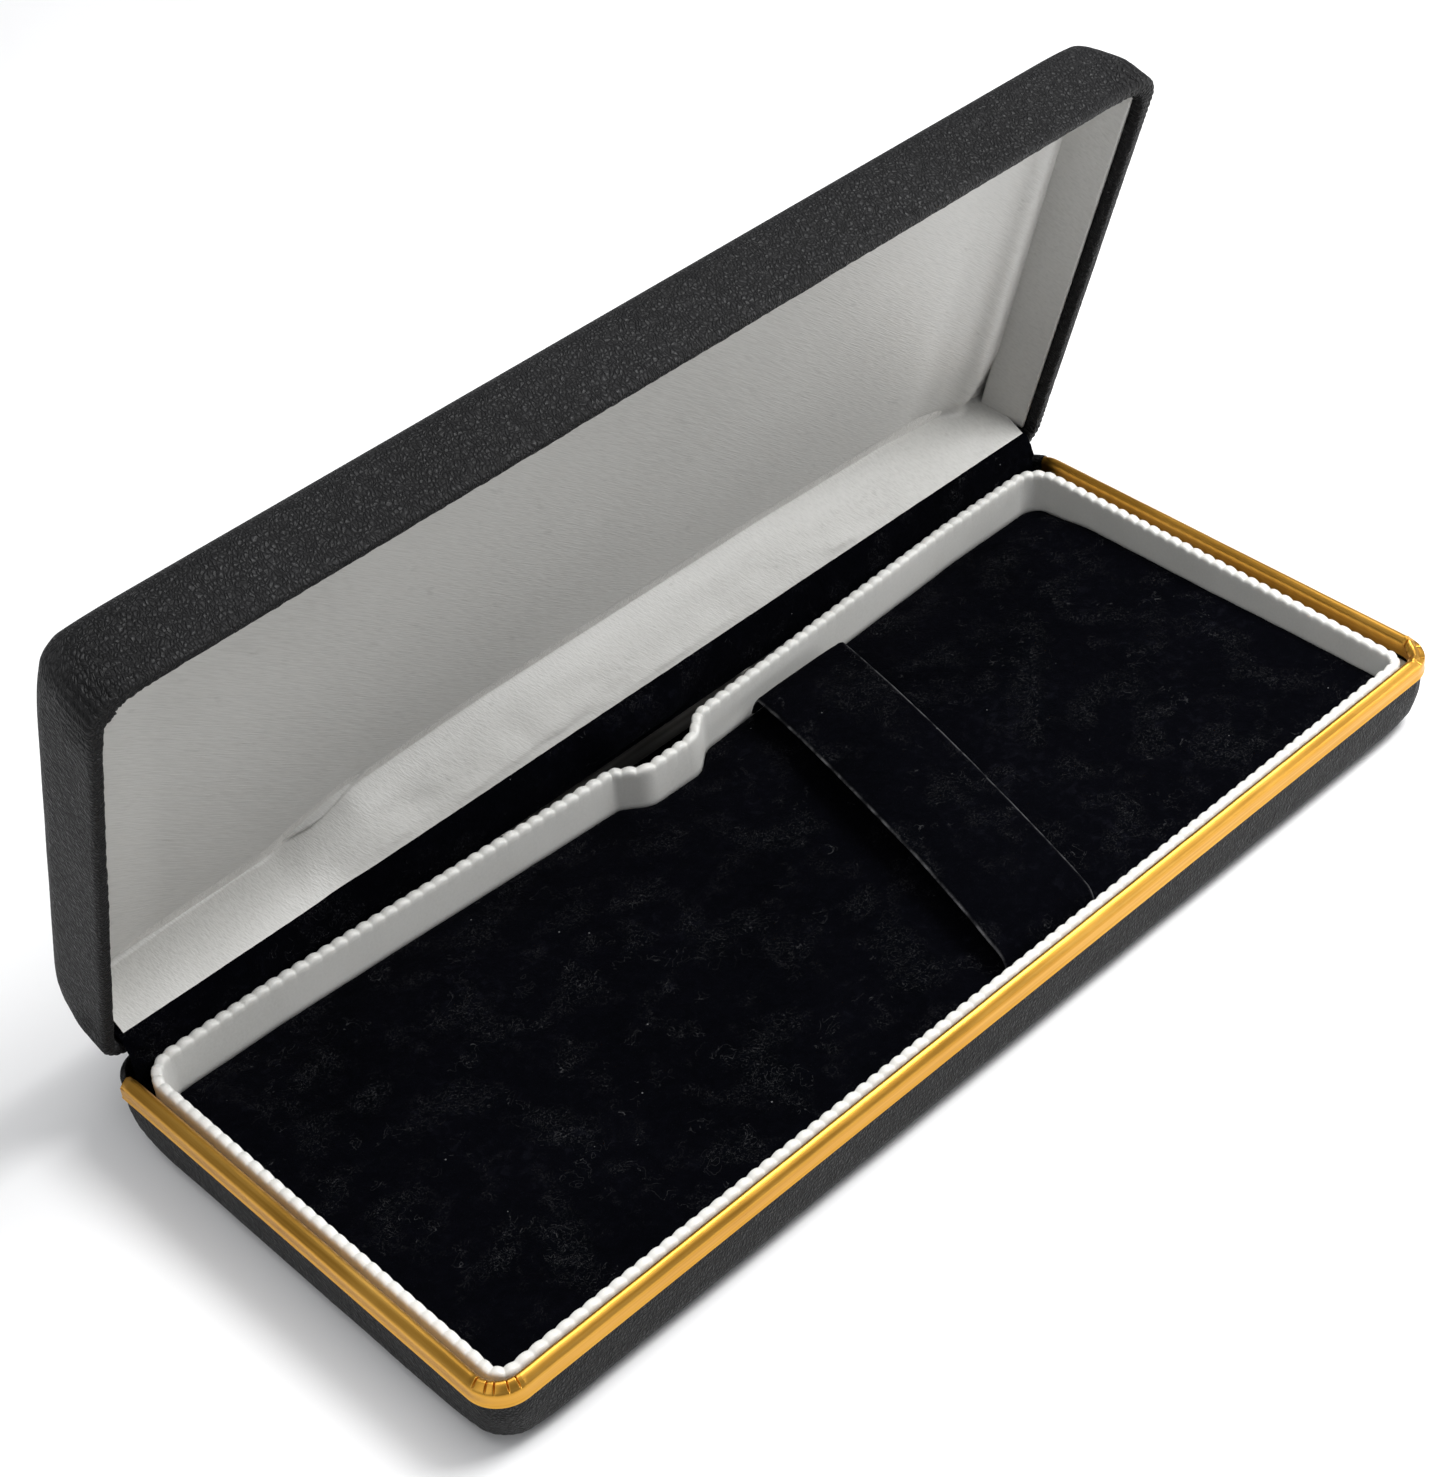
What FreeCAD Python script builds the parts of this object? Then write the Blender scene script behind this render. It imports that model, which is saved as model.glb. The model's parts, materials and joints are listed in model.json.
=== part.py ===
"""Hinged jewelry box: a long shallow case of leatherette over two shells, standing open.

Frame: millimetres, +X along the case, +Y from the front edge to the hinge, +Z up.
The origin is the centre of the base's underside. Each lid piece is modelled in the lid's own frame, as
a second tray that opens upward with the hinge axis as its origin, and its Placement turns it about
that axis to the open angle.
"""

import FreeCAD, Part
import math
import os

import Sketcher

X_AXIS = FreeCAD.Vector(1, 0, 0)
Y_AXIS = FreeCAD.Vector(0, 1, 0)
Z_AXIS = FreeCAD.Vector(0, 0, 1)

SIZES = {
    "case_length": 180.0,
    "front_y": -38.9,
    "back_y": 38.9,
    "base_height": 12.5,
    "base_back_height": 11.6,
    "corner_radius": 5.1,
    "edge_radius": 3.8,
    "wrap_gauge": 0.6,
    "glue_gap": 0.05,
    "shell_gauge": 0.8,
    "channel_gauge": 0.3,
    "channel_ridge": 0.15,
    "channel_fall": 1.1,
    "channel_width": 2.05,
    "channel_depth": 3.1,
    "channel_back_y": 35.1,
    "notch_half_length": 83.0,
    "base_corner_height": 11.9,
    "card_gauge": 1.1,
    "card_foot": 3.6,
    "card_top": 8.5,
    "card_back_y": 34.0,
    "collar_inset": 3.1,
    "collar_gauge": 1.5,
    "collar_foot": 1.8,
    "collar_back_y": 35.9,
    "collar_bow": 3.0,
    "collar_step": 3.1,
    "collar_front_top": 10.55,
    "collar_back_top": 11.8,
    "pad_clearance": 0.9,
    "pad_card_gauge": 1.5,
    "pad_foam_top": 5.8,
    "pad_top": 6.5,
    "velvet_gauge": 0.7,
    "strap_width": 18.0,
    "strap_middle_x": 20.5,
    "strap_skew": 0.25,
    "strap_gauge": 0.6,
    "strap_front_y": -34.2,
    "strap_back_y": 31.75,
    "strap_foot": 1.6,
    "strap_shoulder": 9.6,
    "strap_crown": 11.7,
    "hinge_y": 37.85,
    "hinge_z": 13.0,
    "open_angle": 107.6,
    "pin_radius": 0.5,
    "pin_clearance": 0.04,
    "knuckle_radius": 1.0,
    "knuckle_gap": 0.4,
    "hinge_length": 150.0,
    "leaf_gauge": 0.6,
    "leaf_foot": 5.0,
    "leaf_reach": 8.0,
    "rivet_radius": 1.2,
    "rivet_head": 0.5,
    "base_rivet_z": 7.2,
    "lid_rivet_z": -5.0,
    "spring_radius": 3.0,
    "spring_gauge": 0.4,
    "spring_width": 8.0,
    "spring_middle_x": 1.5,
    "spring_start": 47.6,
    "spring_sweep": 190.0,
    "lid_front": 77.0,
    "lid_back": -0.8,
    "lid_depth": 13.0,
    "lid_wall": 2.0,
    "lid_edge_radius": 4.4,
    "turn_in_depth": 2.2,
    "lid_notch": 1.35,
    "lid_card_gauge": 0.9,
    "lining_wall_gauge": 1.6,
    "lining_rear_y": 3.5,
    "lining_rear_gauge": 0.8,
    "lining_panel_z": -9.3,
    "lining_panel_gauge": 0.6,
    "wadding_gauge": 1.4,
    "strip_half_length": 80.0,
    "strip_gauge": 0.4,
    "strip_y": 36.4,
    "strip_foot": 9.0,
}
KNUCKLES = 7
RIVET_PLACES = (-0.42, -0.16, 0.16, 0.42)


class Size:
    """A length that is bound to the sheet: its expression, and its value for a sketch's first guess."""

    def __init__(self, text, value):
        self.text = text
        self.value = value

    def __add__(self, other):
        other = as_size(other)
        return Size(f"({self.text} + {other.text})", self.value + other.value)

    def __sub__(self, other):
        other = as_size(other)
        return Size(f"({self.text} - {other.text})", self.value - other.value)

    def __mul__(self, other):
        other = as_size(other)
        return Size(f"({self.text} * {other.text})", self.value * other.value)

    def __neg__(self):
        return Size(f"(0 - {self.text})", -self.value)


def as_size(length):
    """A Size from a Size or from a plain number."""
    return length if isinstance(length, Size) else Size(f"{length}", float(length))


def size(name):
    """The driving dimension of this name."""
    return Size(f"Sizes.{name}", SIZES[name])


def fill_sheet(doc):
    """Write each driving dimension into the spreadsheet, with its alias."""
    sheet = doc.addObject("Spreadsheet::Sheet", "Sizes")
    for row, (name, length) in enumerate(SIZES.items(), start=1):
        sheet.set(f"A{row}", name)
        sheet.set(f"B{row}", f"{length}")
        sheet.setAlias(f"B{row}", name)
    doc.recompute()
    return sheet


def bind(thing, prop, length):
    """Drive one property of an object from the sheet."""
    thing.setExpression(prop, as_size(length).text)


# Sketches --------------------------------------------------------------------------------------

def new_body(doc, name, in_lid=False):
    """A body with the node's name, placed in the base's frame or in the lid's."""
    body = doc.addObject("PartDesign::Body", name)
    body.Label = name
    place(body, in_lid)
    return body


def place(thing, in_lid):
    """Leave a piece in the base's frame, or turn it about the hinge axis to the open angle."""
    if not in_lid:
        return
    thing.Placement = FreeCAD.Placement(FreeCAD.Vector(), FreeCAD.Rotation(X_AXIS, SIZES["open_angle"]))
    bind(thing, "Placement.Base.y", size("hinge_y"))
    bind(thing, "Placement.Base.z", size("hinge_z"))
    bind(thing, "Placement.Rotation.Angle", size("open_angle"))


def new_sketch(body, name, role="XY_Plane", offset=0.0):
    """A sketch on one of the body's own origin planes, moved along that plane's normal."""
    sketch = body.newObject("Sketcher::SketchObject", name)
    plane = [feature for feature in body.Origin.OriginFeatures if feature.Role == role][0]
    sketch.AttachmentSupport = [(plane, "")]
    sketch.MapMode = "FlatFace"
    bind(sketch, "AttachmentOffset.Base.z", offset)
    return sketch


def pin_point(sketch, element, end, across, up):
    """Fix one end of a sketch element at a place bound to the sheet."""
    for kind, length in (("DistanceX", across), ("DistanceY", up)):
        if length is None:
            continue
        index = sketch.addConstraint(Sketcher.Constraint(kind, -1, 1, element, end, length.value))
        sketch.setExpression(f"Constraints[{index}]", length.text)


def add_polygon(sketch, points):
    """A closed polygon whose every corner is bound to the sheet."""
    points = [(as_size(across), as_size(up)) for across, up in points]
    corners = [FreeCAD.Vector(across.value, up.value, 0) for across, up in points]
    first = sketch.GeometryCount
    count = len(corners)
    for i in range(count):
        sketch.addGeometry(Part.LineSegment(corners[i], corners[(i + 1) % count]), False)
    for i in range(count):
        after = first + (i + 1) % count
        sketch.addConstraint(Sketcher.Constraint("Coincident", first + i, 2, after, 1))
    for i, (across, up) in enumerate(points):
        pin_point(sketch, first + i, 1, across, up)


def add_rounded_rectangle(sketch, left, right, front, back, radius):
    """Four lines and four tangent arcs, bound to the sheet."""
    left, right, front, back, radius = [as_size(s) for s in (left, right, front, back, radius)]
    x0, x1, y0, y1, r = left.value, right.value, front.value, back.value, radius.value
    runs = [
        ((x0 + r, y0), (x1 - r, y0)),
        ((x1, y0 + r), (x1, y1 - r)),
        ((x1 - r, y1), (x0 + r, y1)),
        ((x0, y1 - r), (x0, y0 + r)),
    ]
    centres = [(x1 - r, y0 + r), (x1 - r, y1 - r), (x0 + r, y1 - r), (x0 + r, y0 + r)]
    first = sketch.GeometryCount
    for i, (begin, end) in enumerate(runs):
        line = Part.LineSegment(FreeCAD.Vector(*begin, 0), FreeCAD.Vector(*end, 0))
        sketch.addGeometry(line, False)
        circle = Part.Circle(FreeCAD.Vector(*centres[i], 0), Z_AXIS, r)
        start = math.radians(-90 + 90 * i)
        sketch.addGeometry(Part.ArcOfCircle(circle, start, start + math.radians(90)), False)
    for i in range(4):
        line = first + 2 * i
        arc = line + 1
        following = first + (2 * i + 2) % 8
        sketch.addConstraint(Sketcher.Constraint("Tangent", line, 2, arc, 1))
        sketch.addConstraint(Sketcher.Constraint("Tangent", arc, 2, following, 1))
        sketch.addConstraint(Sketcher.Constraint("Horizontal" if i % 2 == 0 else "Vertical", line))
    for i in range(1, 4):
        sketch.addConstraint(Sketcher.Constraint("Equal", first + 1, first + 2 * i + 1))
    index = sketch.addConstraint(Sketcher.Constraint("Radius", first + 1, r))
    sketch.setExpression(f"Constraints[{index}]", radius.text)
    pin_point(sketch, first, 1, None, front)
    pin_point(sketch, first + 2, 1, right, None)
    pin_point(sketch, first + 4, 1, None, back)
    pin_point(sketch, first + 6, 1, left, None)


def pad(body, sketch, length, downward=False):
    """Raise a sketch into a solid."""
    feature = body.newObject("PartDesign::Pad", sketch.Name + "Pad")
    feature.Profile = sketch
    bind(feature, "Length", length)
    feature.Reversed = downward
    return feature


def pocket(body, sketch, length, upward=False):
    """Cut a sketch out of the body, downward unless it says upward."""
    feature = body.newObject("PartDesign::Pocket", sketch.Name + "Pocket")
    feature.Profile = sketch
    bind(feature, "Length", length)
    feature.Reversed = upward
    return feature


def round_edges(body, base, radius, wanted):
    """Fillet the edges of a feature that the test picks out, by a radius bound to the sheet."""
    body.Document.recompute()
    names = [f"Edge{i}" for i, edge in enumerate(base.Shape.Edges, start=1) if wanted(edge)]
    feature = body.newObject("PartDesign::Fillet", base.Name + "Round")
    feature.Base = (base, names)
    bind(feature, "Radius", radius)
    return feature


def slope_edge(body, base, across, down, wanted):
    """Slope a block's edges: this far in across the face above them, and this far down the side."""
    body.Document.recompute()
    edges = [f"Edge{i}" for i, edge in enumerate(base.Shape.Edges, start=1) if wanted(edge)]
    feature = body.newObject("PartDesign::Chamfer", base.Name + "Slope")
    feature.Base = (base, edges)
    feature.ChamferType = "Two distances"
    feature.FlipDirection = True
    bind(feature, "Size", across)
    bind(feature, "Size2", down)
    return feature


def lies_at(height):
    """A test for edges that lie wholly at one height of the body's own frame."""
    level = as_size(height).value
    return lambda edge: edge.BoundBox.ZLength < 1e-6 and abs(edge.BoundBox.ZMin - level) < 1e-6


# The trays' outlines ---------------------------------------------------------------------------

def base_outline(inset):
    """The base's plan, this far inside the rim's outer face: left, right, front, back, radius."""
    inset = as_size(inset)
    half = size("case_length") * 0.5
    return (
        inset - half,
        half - inset,
        size("front_y") + inset,
        size("back_y") - inset,
        size("corner_radius") - inset,
    )


def lid_outline(inset):
    """The lid's plan in its own frame, this far inside its outer face."""
    inset = as_size(inset)
    half = size("case_length") * 0.5
    return (
        inset - half,
        half - inset,
        size("lid_back") + inset,
        size("lid_front") - inset,
        size("corner_radius") - inset,
    )


def hollow_out(body, base, top, gauge):
    """Hollow a block from its top face, leaving an even wall."""
    body.Document.recompute()
    level = as_size(top).value
    faces = [
        f"Face{i}"
        for i, face in enumerate(base.Shape.Faces, start=1)
        if face.BoundBox.ZLength < 1e-6 and abs(face.BoundBox.ZMin - level) < 1e-6
    ]
    feature = body.newObject("PartDesign::Thickness", base.Name + "Hollow")
    feature.Base = (base, faces)
    bind(feature, "Value", gauge)
    feature.Reversed = True
    feature.Join = "Intersection"
    body.Document.recompute()
    assert feature.Shape.Volume < 0.6 * base.Shape.Volume, body.Name
    return feature


def add_tray(body, outline, inset, bottom, top, gauge, edge_radius):
    """A tray with rounded corners and a rounded lower edge, hollowed from its top."""
    plan = new_sketch(body, body.Name + "Plan", offset=bottom)
    add_rounded_rectangle(plan, *outline(inset))
    block = pad(body, plan, as_size(top) - bottom)
    rounded = round_edges(body, block, edge_radius, lies_at(bottom))
    return hollow_out(body, rounded, top, gauge)


def cut_plan(body, name, plan, high, low):
    """Cut a rectangle, given as left, right, front and back, from one height down to another."""
    left, right, front, back = plan
    sketch = new_sketch(body, name, offset=high)
    add_polygon(sketch, [(left, front), (right, front), (right, back), (left, back)])
    return pocket(body, sketch, as_size(high) - low)


def lower_base_walls(body):
    """Lower the walls: under the channel's slope, a little at the back corners, and along the knuckles."""
    half = size("case_length") * 0.5 + 1
    notch = size("notch_half_length")
    near = size("channel_back_y") + 0.2
    far = size("back_y") + 1
    high = size("base_height") + 1
    under_slope = size("base_height") - size("channel_fall") - size("channel_gauge")
    cut_plan(body, body.Name + "Rim", (-half, half, size("front_y") - 1, near), high, under_slope)
    cut_plan(body, body.Name + "Step", (-half, half, near, far), high, size("base_corner_height"))
    cut_plan(body, body.Name + "Notch", (-notch, notch, near, far), high, size("base_back_height"))


def lower_lid_back(body):
    """Cut the lid's back wall away along the hinge's knuckles."""
    notch = size("notch_half_length")
    near = size("lid_back") - 1
    far = size("lid_wall") + size("lid_back") + 0.5
    cut_plan(body, body.Name + "Notch", (-notch, notch, near, far), as_size(1), -size("lid_notch"))


# Base ------------------------------------------------------------------------------------------

def make_base_wrap(doc):
    """The leatherette skin of the base, one wrap gauge thick."""
    body = new_body(doc, "base_wrap")
    inset = size("channel_gauge")
    gauge = size("wrap_gauge")
    top = size("base_height") - size("channel_gauge")
    add_tray(body, base_outline, inset, as_size(0), top, gauge, size("edge_radius"))
    lower_base_walls(body)
    return body


def make_base_shell(doc):
    """The stiff tray inside the base's skin."""
    body = new_body(doc, "base_shell")
    skin = size("wrap_gauge") + size("glue_gap")
    inset = size("channel_gauge") + skin
    top = size("base_height") - size("channel_gauge")
    radius = size("edge_radius") - skin
    gauge = size("shell_gauge")
    add_tray(body, base_outline, inset, skin, top, gauge, radius)
    lower_base_walls(body)
    return body


def make_rim_channel(doc):
    """The gold channel over the front and side walls, its top sloping out and down, short of the hinge."""
    body = new_body(doc, "rim_channel")
    gauge = size("channel_gauge")
    width = size("channel_width")
    depth = size("channel_depth")
    top = size("base_height")
    outer = new_sketch(body, "ChannelOuter", offset=top - depth)
    add_rounded_rectangle(outer, *base_outline(0))
    block = pad(body, outer, depth)
    sloped = slope_edge(body, block, width - size("channel_ridge"), size("channel_fall"), lies_at(top))
    opening = new_sketch(body, "ChannelOpening", offset=top)
    add_rounded_rectangle(opening, *base_outline(width))
    pocket(body, opening, depth)
    groove = new_sketch(body, "ChannelGroove", offset=top - depth)
    add_rounded_rectangle(groove, *base_outline(gauge))
    add_rounded_rectangle(groove, *base_outline(width - gauge))
    pocket(body, groove, depth - size("channel_fall") - gauge, upward=True)
    doc.recompute()
    assert sloped.Shape.Volume > 10 * body.Tip.Shape.Volume
    half = size("case_length") * 0.5 + 1
    tail = (-half, half, size("channel_back_y"), size("back_y") + 1)
    cut_plan(body, "ChannelTail", tail, top + 1, top - depth - 1)
    return body


def make_wall_card(doc):
    """The card that stiffens the base's front and side walls behind the collar."""
    body = new_body(doc, "wall_card")
    foot = size("card_foot")
    top = size("card_top")
    inset = size("channel_gauge") + size("wrap_gauge") + size("shell_gauge") + size("glue_gap") * 2
    ring = new_sketch(body, "CardRing", offset=foot)
    add_rounded_rectangle(ring, *base_outline(inset))
    add_rounded_rectangle(ring, *base_outline(inset + size("card_gauge")))
    pad(body, ring, top - foot)
    half = size("case_length") * 0.5
    cut_plan(body, "CardTail", (-half, half, size("card_back_y"), size("back_y")), top + 1, foot - 1)
    return body


def rounded_outline(corners):
    """A closed wire in plan through corners of (x, y, radius), each rounded by its tangent arc."""
    edges = []
    starts = []
    count = len(corners)
    for i, (x, y, radius) in enumerate(corners):
        here = FreeCAD.Vector(x, y, 0)
        before = FreeCAD.Vector(*corners[i - 1][:2], 0)
        after = FreeCAD.Vector(*corners[(i + 1) % count][:2], 0)
        back = (before - here).normalize()
        ahead = (after - here).normalize()
        half_turn = back.getAngle(ahead) / 2
        reach = radius / math.tan(half_turn)
        centre = here + (back + ahead).normalize() * (radius / math.sin(half_turn))
        middle = centre + (here - centre).normalize() * radius
        edges.append(Part.Arc(here + back * reach, middle, here + ahead * reach).toShape())
        starts.append((here + back * reach, here + ahead * reach))
    runs = []
    for i in range(count):
        runs.append(Part.LineSegment(starts[i][1], starts[(i + 1) % count][0]).toShape())
    ordered = [edge for pair in zip(edges, runs) for edge in pair]
    return Part.Wire(ordered)


def collar_outline(sheet):
    """The collar's outer face in plan: bowed in along the hinge and stepped round the spring."""
    half = sheet.case_length / 2 - sheet.collar_inset
    front = sheet.front_y + sheet.collar_inset
    back = sheet.collar_back_y
    bow = sheet.collar_bow
    step = sheet.collar_step
    straight = 66.0
    middle = sheet.spring_middle_x
    mouth = sheet.spring_width / 2 + 3.2
    nose = sheet.spring_width / 2 + 0.8
    corners = [
        (-half, front, 3.0),
        (half, front, 3.0),
        (half, back, 5.0),
        (straight, back - 0.1, 40.0),
        (middle + mouth, back - bow, 1.8),
        (middle + nose, back - bow - step, 1.8),
        (middle - nose, back - bow - step, 1.8),
        (middle - mouth, back - bow, 1.8),
        (-straight, back - 0.1, 40.0),
        (-half, back, 5.0),
    ]
    return rounded_outline(corners)


def make_collar(doc, sheet):
    """The white strip that stands round the inside, higher at the hinge than at the front."""
    outer = collar_outline(sheet)
    inner = outer.makeOffset2D(-sheet.collar_gauge)
    ring = Part.Face(outer).cut(Part.Face(inner))
    foot = sheet.collar_foot
    tall = ring.extrude(Z_AXIS * sheet.base_height)
    reach = sheet.case_length
    side = [
        FreeCAD.Vector(-reach, sheet.front_y, foot),
        FreeCAD.Vector(-reach, sheet.back_y, foot),
        FreeCAD.Vector(-reach, sheet.back_y, sheet.collar_back_top),
        FreeCAD.Vector(-reach, sheet.front_y, sheet.collar_front_top),
    ]
    slab = Part.Face(Part.makePolygon(side + side[:1])).extrude(X_AXIS * 2 * reach)
    return add_shape(doc, "collar_strip", tall.common(slab).Solids[0])


def add_shape(doc, name, shape):
    """A document object that holds a finished shape."""
    piece = doc.addObject("Part::Feature", name)
    piece.Label = name
    piece.Shape = shape
    return piece


def pad_layer(sheet, inset, low, high):
    """A plate that fills the collar's inside to this clearance, notched at the back for the strap's leg."""
    outline = collar_outline(sheet).makeOffset2D(-sheet.collar_gauge - inset)
    plate = Part.Face(outline).extrude(Z_AXIS * (high - low))
    plate.translate(Z_AXIS * low)
    spare = inset - sheet.pad_clearance + 0.1
    middle = strap_x(sheet, sheet.strap_back_y)
    notch_front = sheet.strap_back_y - sheet.strap_gauge - spare
    half = sheet.strap_width / 2 + spare + 0.4
    notch = Part.makeBox(half * 2, 9, sheet.base_height, FreeCAD.Vector(middle - half, notch_front, 0))
    return plate.cut(notch)


def make_base_pad(doc, sheet):
    """The velvet pad: a card, a foam layer and the velvet that is turned down over both."""
    floor = sheet.wrap_gauge + sheet.glue_gap * 2 + sheet.shell_gauge
    card_top = floor + sheet.pad_card_gauge
    foam_top = sheet.pad_foam_top
    skirt = sheet.pad_clearance + sheet.velvet_gauge
    filling = skirt + sheet.glue_gap
    hollow = pad_layer(sheet, skirt, floor, foam_top)
    velvet = pad_layer(sheet, sheet.pad_clearance, floor, sheet.pad_top).cut(hollow)
    return [
        add_shape(doc, "pad_card", pad_layer(sheet, filling, floor, card_top).Solids[0]),
        add_shape(doc, "pad_foam", pad_layer(sheet, filling, card_top, foam_top).Solids[0]),
        add_shape(doc, "velvet_pad", velvet.Solids[0]),
    ]


def strap_x(sheet, y):
    """Where the strap's middle line lies at this y: it runs askew."""
    centre = (sheet.strap_front_y + sheet.strap_back_y) / 2
    return sheet.strap_middle_x + sheet.strap_skew * (y - centre)


def make_strap(doc, sheet):
    """The velvet strap: a flat band that rises out of the pad's edge, arches across and is set askew."""
    low = sheet.strap_foot
    shoulder = sheet.strap_shoulder
    front = sheet.strap_front_y
    back = sheet.strap_back_y
    centre_y = (front + back) / 2
    gauge = sheet.strap_gauge

    def band_edge(inset):
        top = sheet.strap_crown - inset
        ends = [front + inset, back - inset]
        legs = [FreeCAD.Vector(0, y, low) for y in ends]
        knees = [FreeCAD.Vector(0, y, shoulder - inset) for y in ends]
        crown = FreeCAD.Vector(0, centre_y, top)
        return legs, knees, crown

    outer_legs, outer_knees, outer_crown = band_edge(0)
    inner_legs, inner_knees, inner_crown = band_edge(gauge)
    edges = [
        Part.LineSegment(outer_legs[0], outer_knees[0]),
        Part.Arc(outer_knees[0], outer_crown, outer_knees[1]),
        Part.LineSegment(outer_knees[1], outer_legs[1]),
        Part.LineSegment(outer_legs[1], inner_legs[1]),
        Part.LineSegment(inner_legs[1], inner_knees[1]),
        Part.Arc(inner_knees[1], inner_crown, inner_knees[0]),
        Part.LineSegment(inner_knees[0], inner_legs[0]),
        Part.LineSegment(inner_legs[0], outer_legs[0]),
    ]
    face = Part.Face(Part.Wire([edge.toShape() for edge in edges]))
    band = face.extrude(X_AXIS * sheet.strap_width)
    skew = FreeCAD.Matrix()
    skew.A12 = sheet.strap_skew
    skew.A14 = strap_x(sheet, 0) - sheet.strap_width / 2
    return add_shape(doc, "velvet_strap", band.transformGeometry(skew))


# Hinge -----------------------------------------------------------------------------------------

def add_box(doc, name, lengths, corner):
    """A box bound to the sheet: its three lengths, and the corner nearest the origin."""
    box = doc.addObject("Part::Box", name)
    for prop, length in zip(("Length", "Width", "Height"), lengths):
        bind(box, prop, length)
    for axis, place_at in zip("xyz", corner):
        bind(box, f"Placement.Base.{axis}", place_at)
    return box


def add_rod(doc, name, radius, length, start):
    """A cylinder along X bound to the sheet."""
    rod = doc.addObject("Part::Cylinder", name)
    rod.Placement = FreeCAD.Placement(FreeCAD.Vector(), FreeCAD.Rotation(Y_AXIS, 90))
    bind(rod, "Radius", radius)
    bind(rod, "Height", length)
    for axis, place_at in zip("xyz", start):
        bind(rod, f"Placement.Base.{axis}", place_at)
    return rod


def leaf_face(of_lid):
    """Where a leaf lies against its shell: the face nearest the case's outside."""
    wall = size("wrap_gauge") + size("shell_gauge") + size("glue_gap") * 2
    if of_lid:
        return size("lid_back") + wall
    return size("back_y") - size("channel_gauge") - wall - size("leaf_gauge")


def make_hinge_leaf(doc, of_lid):
    """A steel leaf: a plate on the back wall, and tabs that rise from it and roll round the axis."""
    name = "lid_hinge_leaf" if of_lid else "base_hinge_leaf"
    axis_y = as_size(0) if of_lid else size("hinge_y")
    axis_z = as_size(0) if of_lid else size("hinge_z")
    low = -size("leaf_reach") if of_lid else size("leaf_foot")
    bore = size("pin_radius") + size("pin_clearance") if of_lid else size("pin_radius")
    near = leaf_face(of_lid)
    gauge = size("leaf_gauge")
    length = size("hinge_length")
    start = length * -0.5
    plate_top = axis_z - size("knuckle_radius") - size("knuckle_gap")
    pitch = length * (1 / KNUCKLES)
    width = pitch - size("knuckle_gap")
    solids = [add_box(doc, name + "Plate", (length, gauge, plate_top - low), (start, near, low))]
    for i in range(1 if of_lid else 0, KNUCKLES, 2):
        left = start + pitch * i + size("knuckle_gap") * 0.5
        tab_place = (left, near, plate_top)
        solids.append(add_box(doc, f"{name}Tab{i}", (width, gauge, axis_z - plate_top), tab_place))
        barrel_place = (left, axis_y, axis_z)
        solids.append(add_rod(doc, f"{name}Barrel{i}", size("knuckle_radius"), width, barrel_place))
    rolled = doc.addObject("Part::MultiFuse", name + "Rolled")
    rolled.Shapes = solids
    rolled.Refine = True
    leaf = doc.addObject("Part::Cut", name)
    leaf.Base = rolled
    leaf.Tool = add_rod(doc, name + "Bore", bore, length + 2, (start - 1, axis_y, axis_z))
    leaf.Label = name
    place(leaf, of_lid)
    return leaf


def make_hinge_pin(doc):
    """The steel pin through all the knuckles."""
    length = size("hinge_length")
    start = (length * -0.5, size("hinge_y"), size("hinge_z"))
    return add_rod(doc, "hinge_pin", size("pin_radius"), length, start)


def make_rivets(doc, of_lid):
    """The rivet heads that hold a leaf to its shell."""
    name = "lid_leaf_rivets" if of_lid else "base_leaf_rivets"
    head = size("rivet_head")
    face = leaf_face(of_lid) + size("leaf_gauge") if of_lid else leaf_face(of_lid) - head
    height = size("lid_rivet_z") if of_lid else size("base_rivet_z")
    heads = []
    for i, along in enumerate(RIVET_PLACES):
        rivet = doc.addObject("Part::Cylinder", f"{name}{i}")
        rivet.Placement = FreeCAD.Placement(FreeCAD.Vector(), FreeCAD.Rotation(X_AXIS, -90))
        bind(rivet, "Radius", size("rivet_radius"))
        bind(rivet, "Height", head)
        bind(rivet, "Placement.Base.x", size("hinge_length") * along)
        bind(rivet, "Placement.Base.y", face)
        bind(rivet, "Placement.Base.z", height)
        heads.append(rivet)
    rivets = doc.addObject("Part::Compound", name)
    rivets.Links = heads
    rivets.Label = name
    place(rivets, of_lid)
    return rivets


def make_snap_spring(doc):
    """The bow spring: a strip of spring steel bent round the axis from one leaf to the other."""
    half_gauge = size("spring_gauge") * 0.5
    lying = FreeCAD.Rotation(FreeCAD.Vector(0, 1, 0), FreeCAD.Vector(0, 0, 1), X_AXIS, "ZXY")
    turned = FreeCAD.Rotation(X_AXIS, SIZES["spring_start"]) * lying
    discs = []
    radii = {"Outer": size("spring_radius") + half_gauge, "Inner": size("spring_radius") - half_gauge}
    for name, radius in radii.items():
        disc = doc.addObject("Part::Cylinder", "snap_spring" + name)
        disc.Placement = FreeCAD.Placement(FreeCAD.Vector(), turned)
        bind(disc, "Radius", radius)
        bind(disc, "Height", size("spring_width"))
        bind(disc, "Angle", size("spring_sweep"))
        bind(disc, "Placement.Base.x", size("spring_middle_x") - size("spring_width") * 0.5)
        bind(disc, "Placement.Base.y", size("hinge_y"))
        bind(disc, "Placement.Base.z", size("hinge_z"))
        discs.append(disc)
    spring = doc.addObject("Part::Cut", "snap_spring")
    spring.Base, spring.Tool = discs
    spring.Label = "snap_spring"
    return spring


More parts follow.
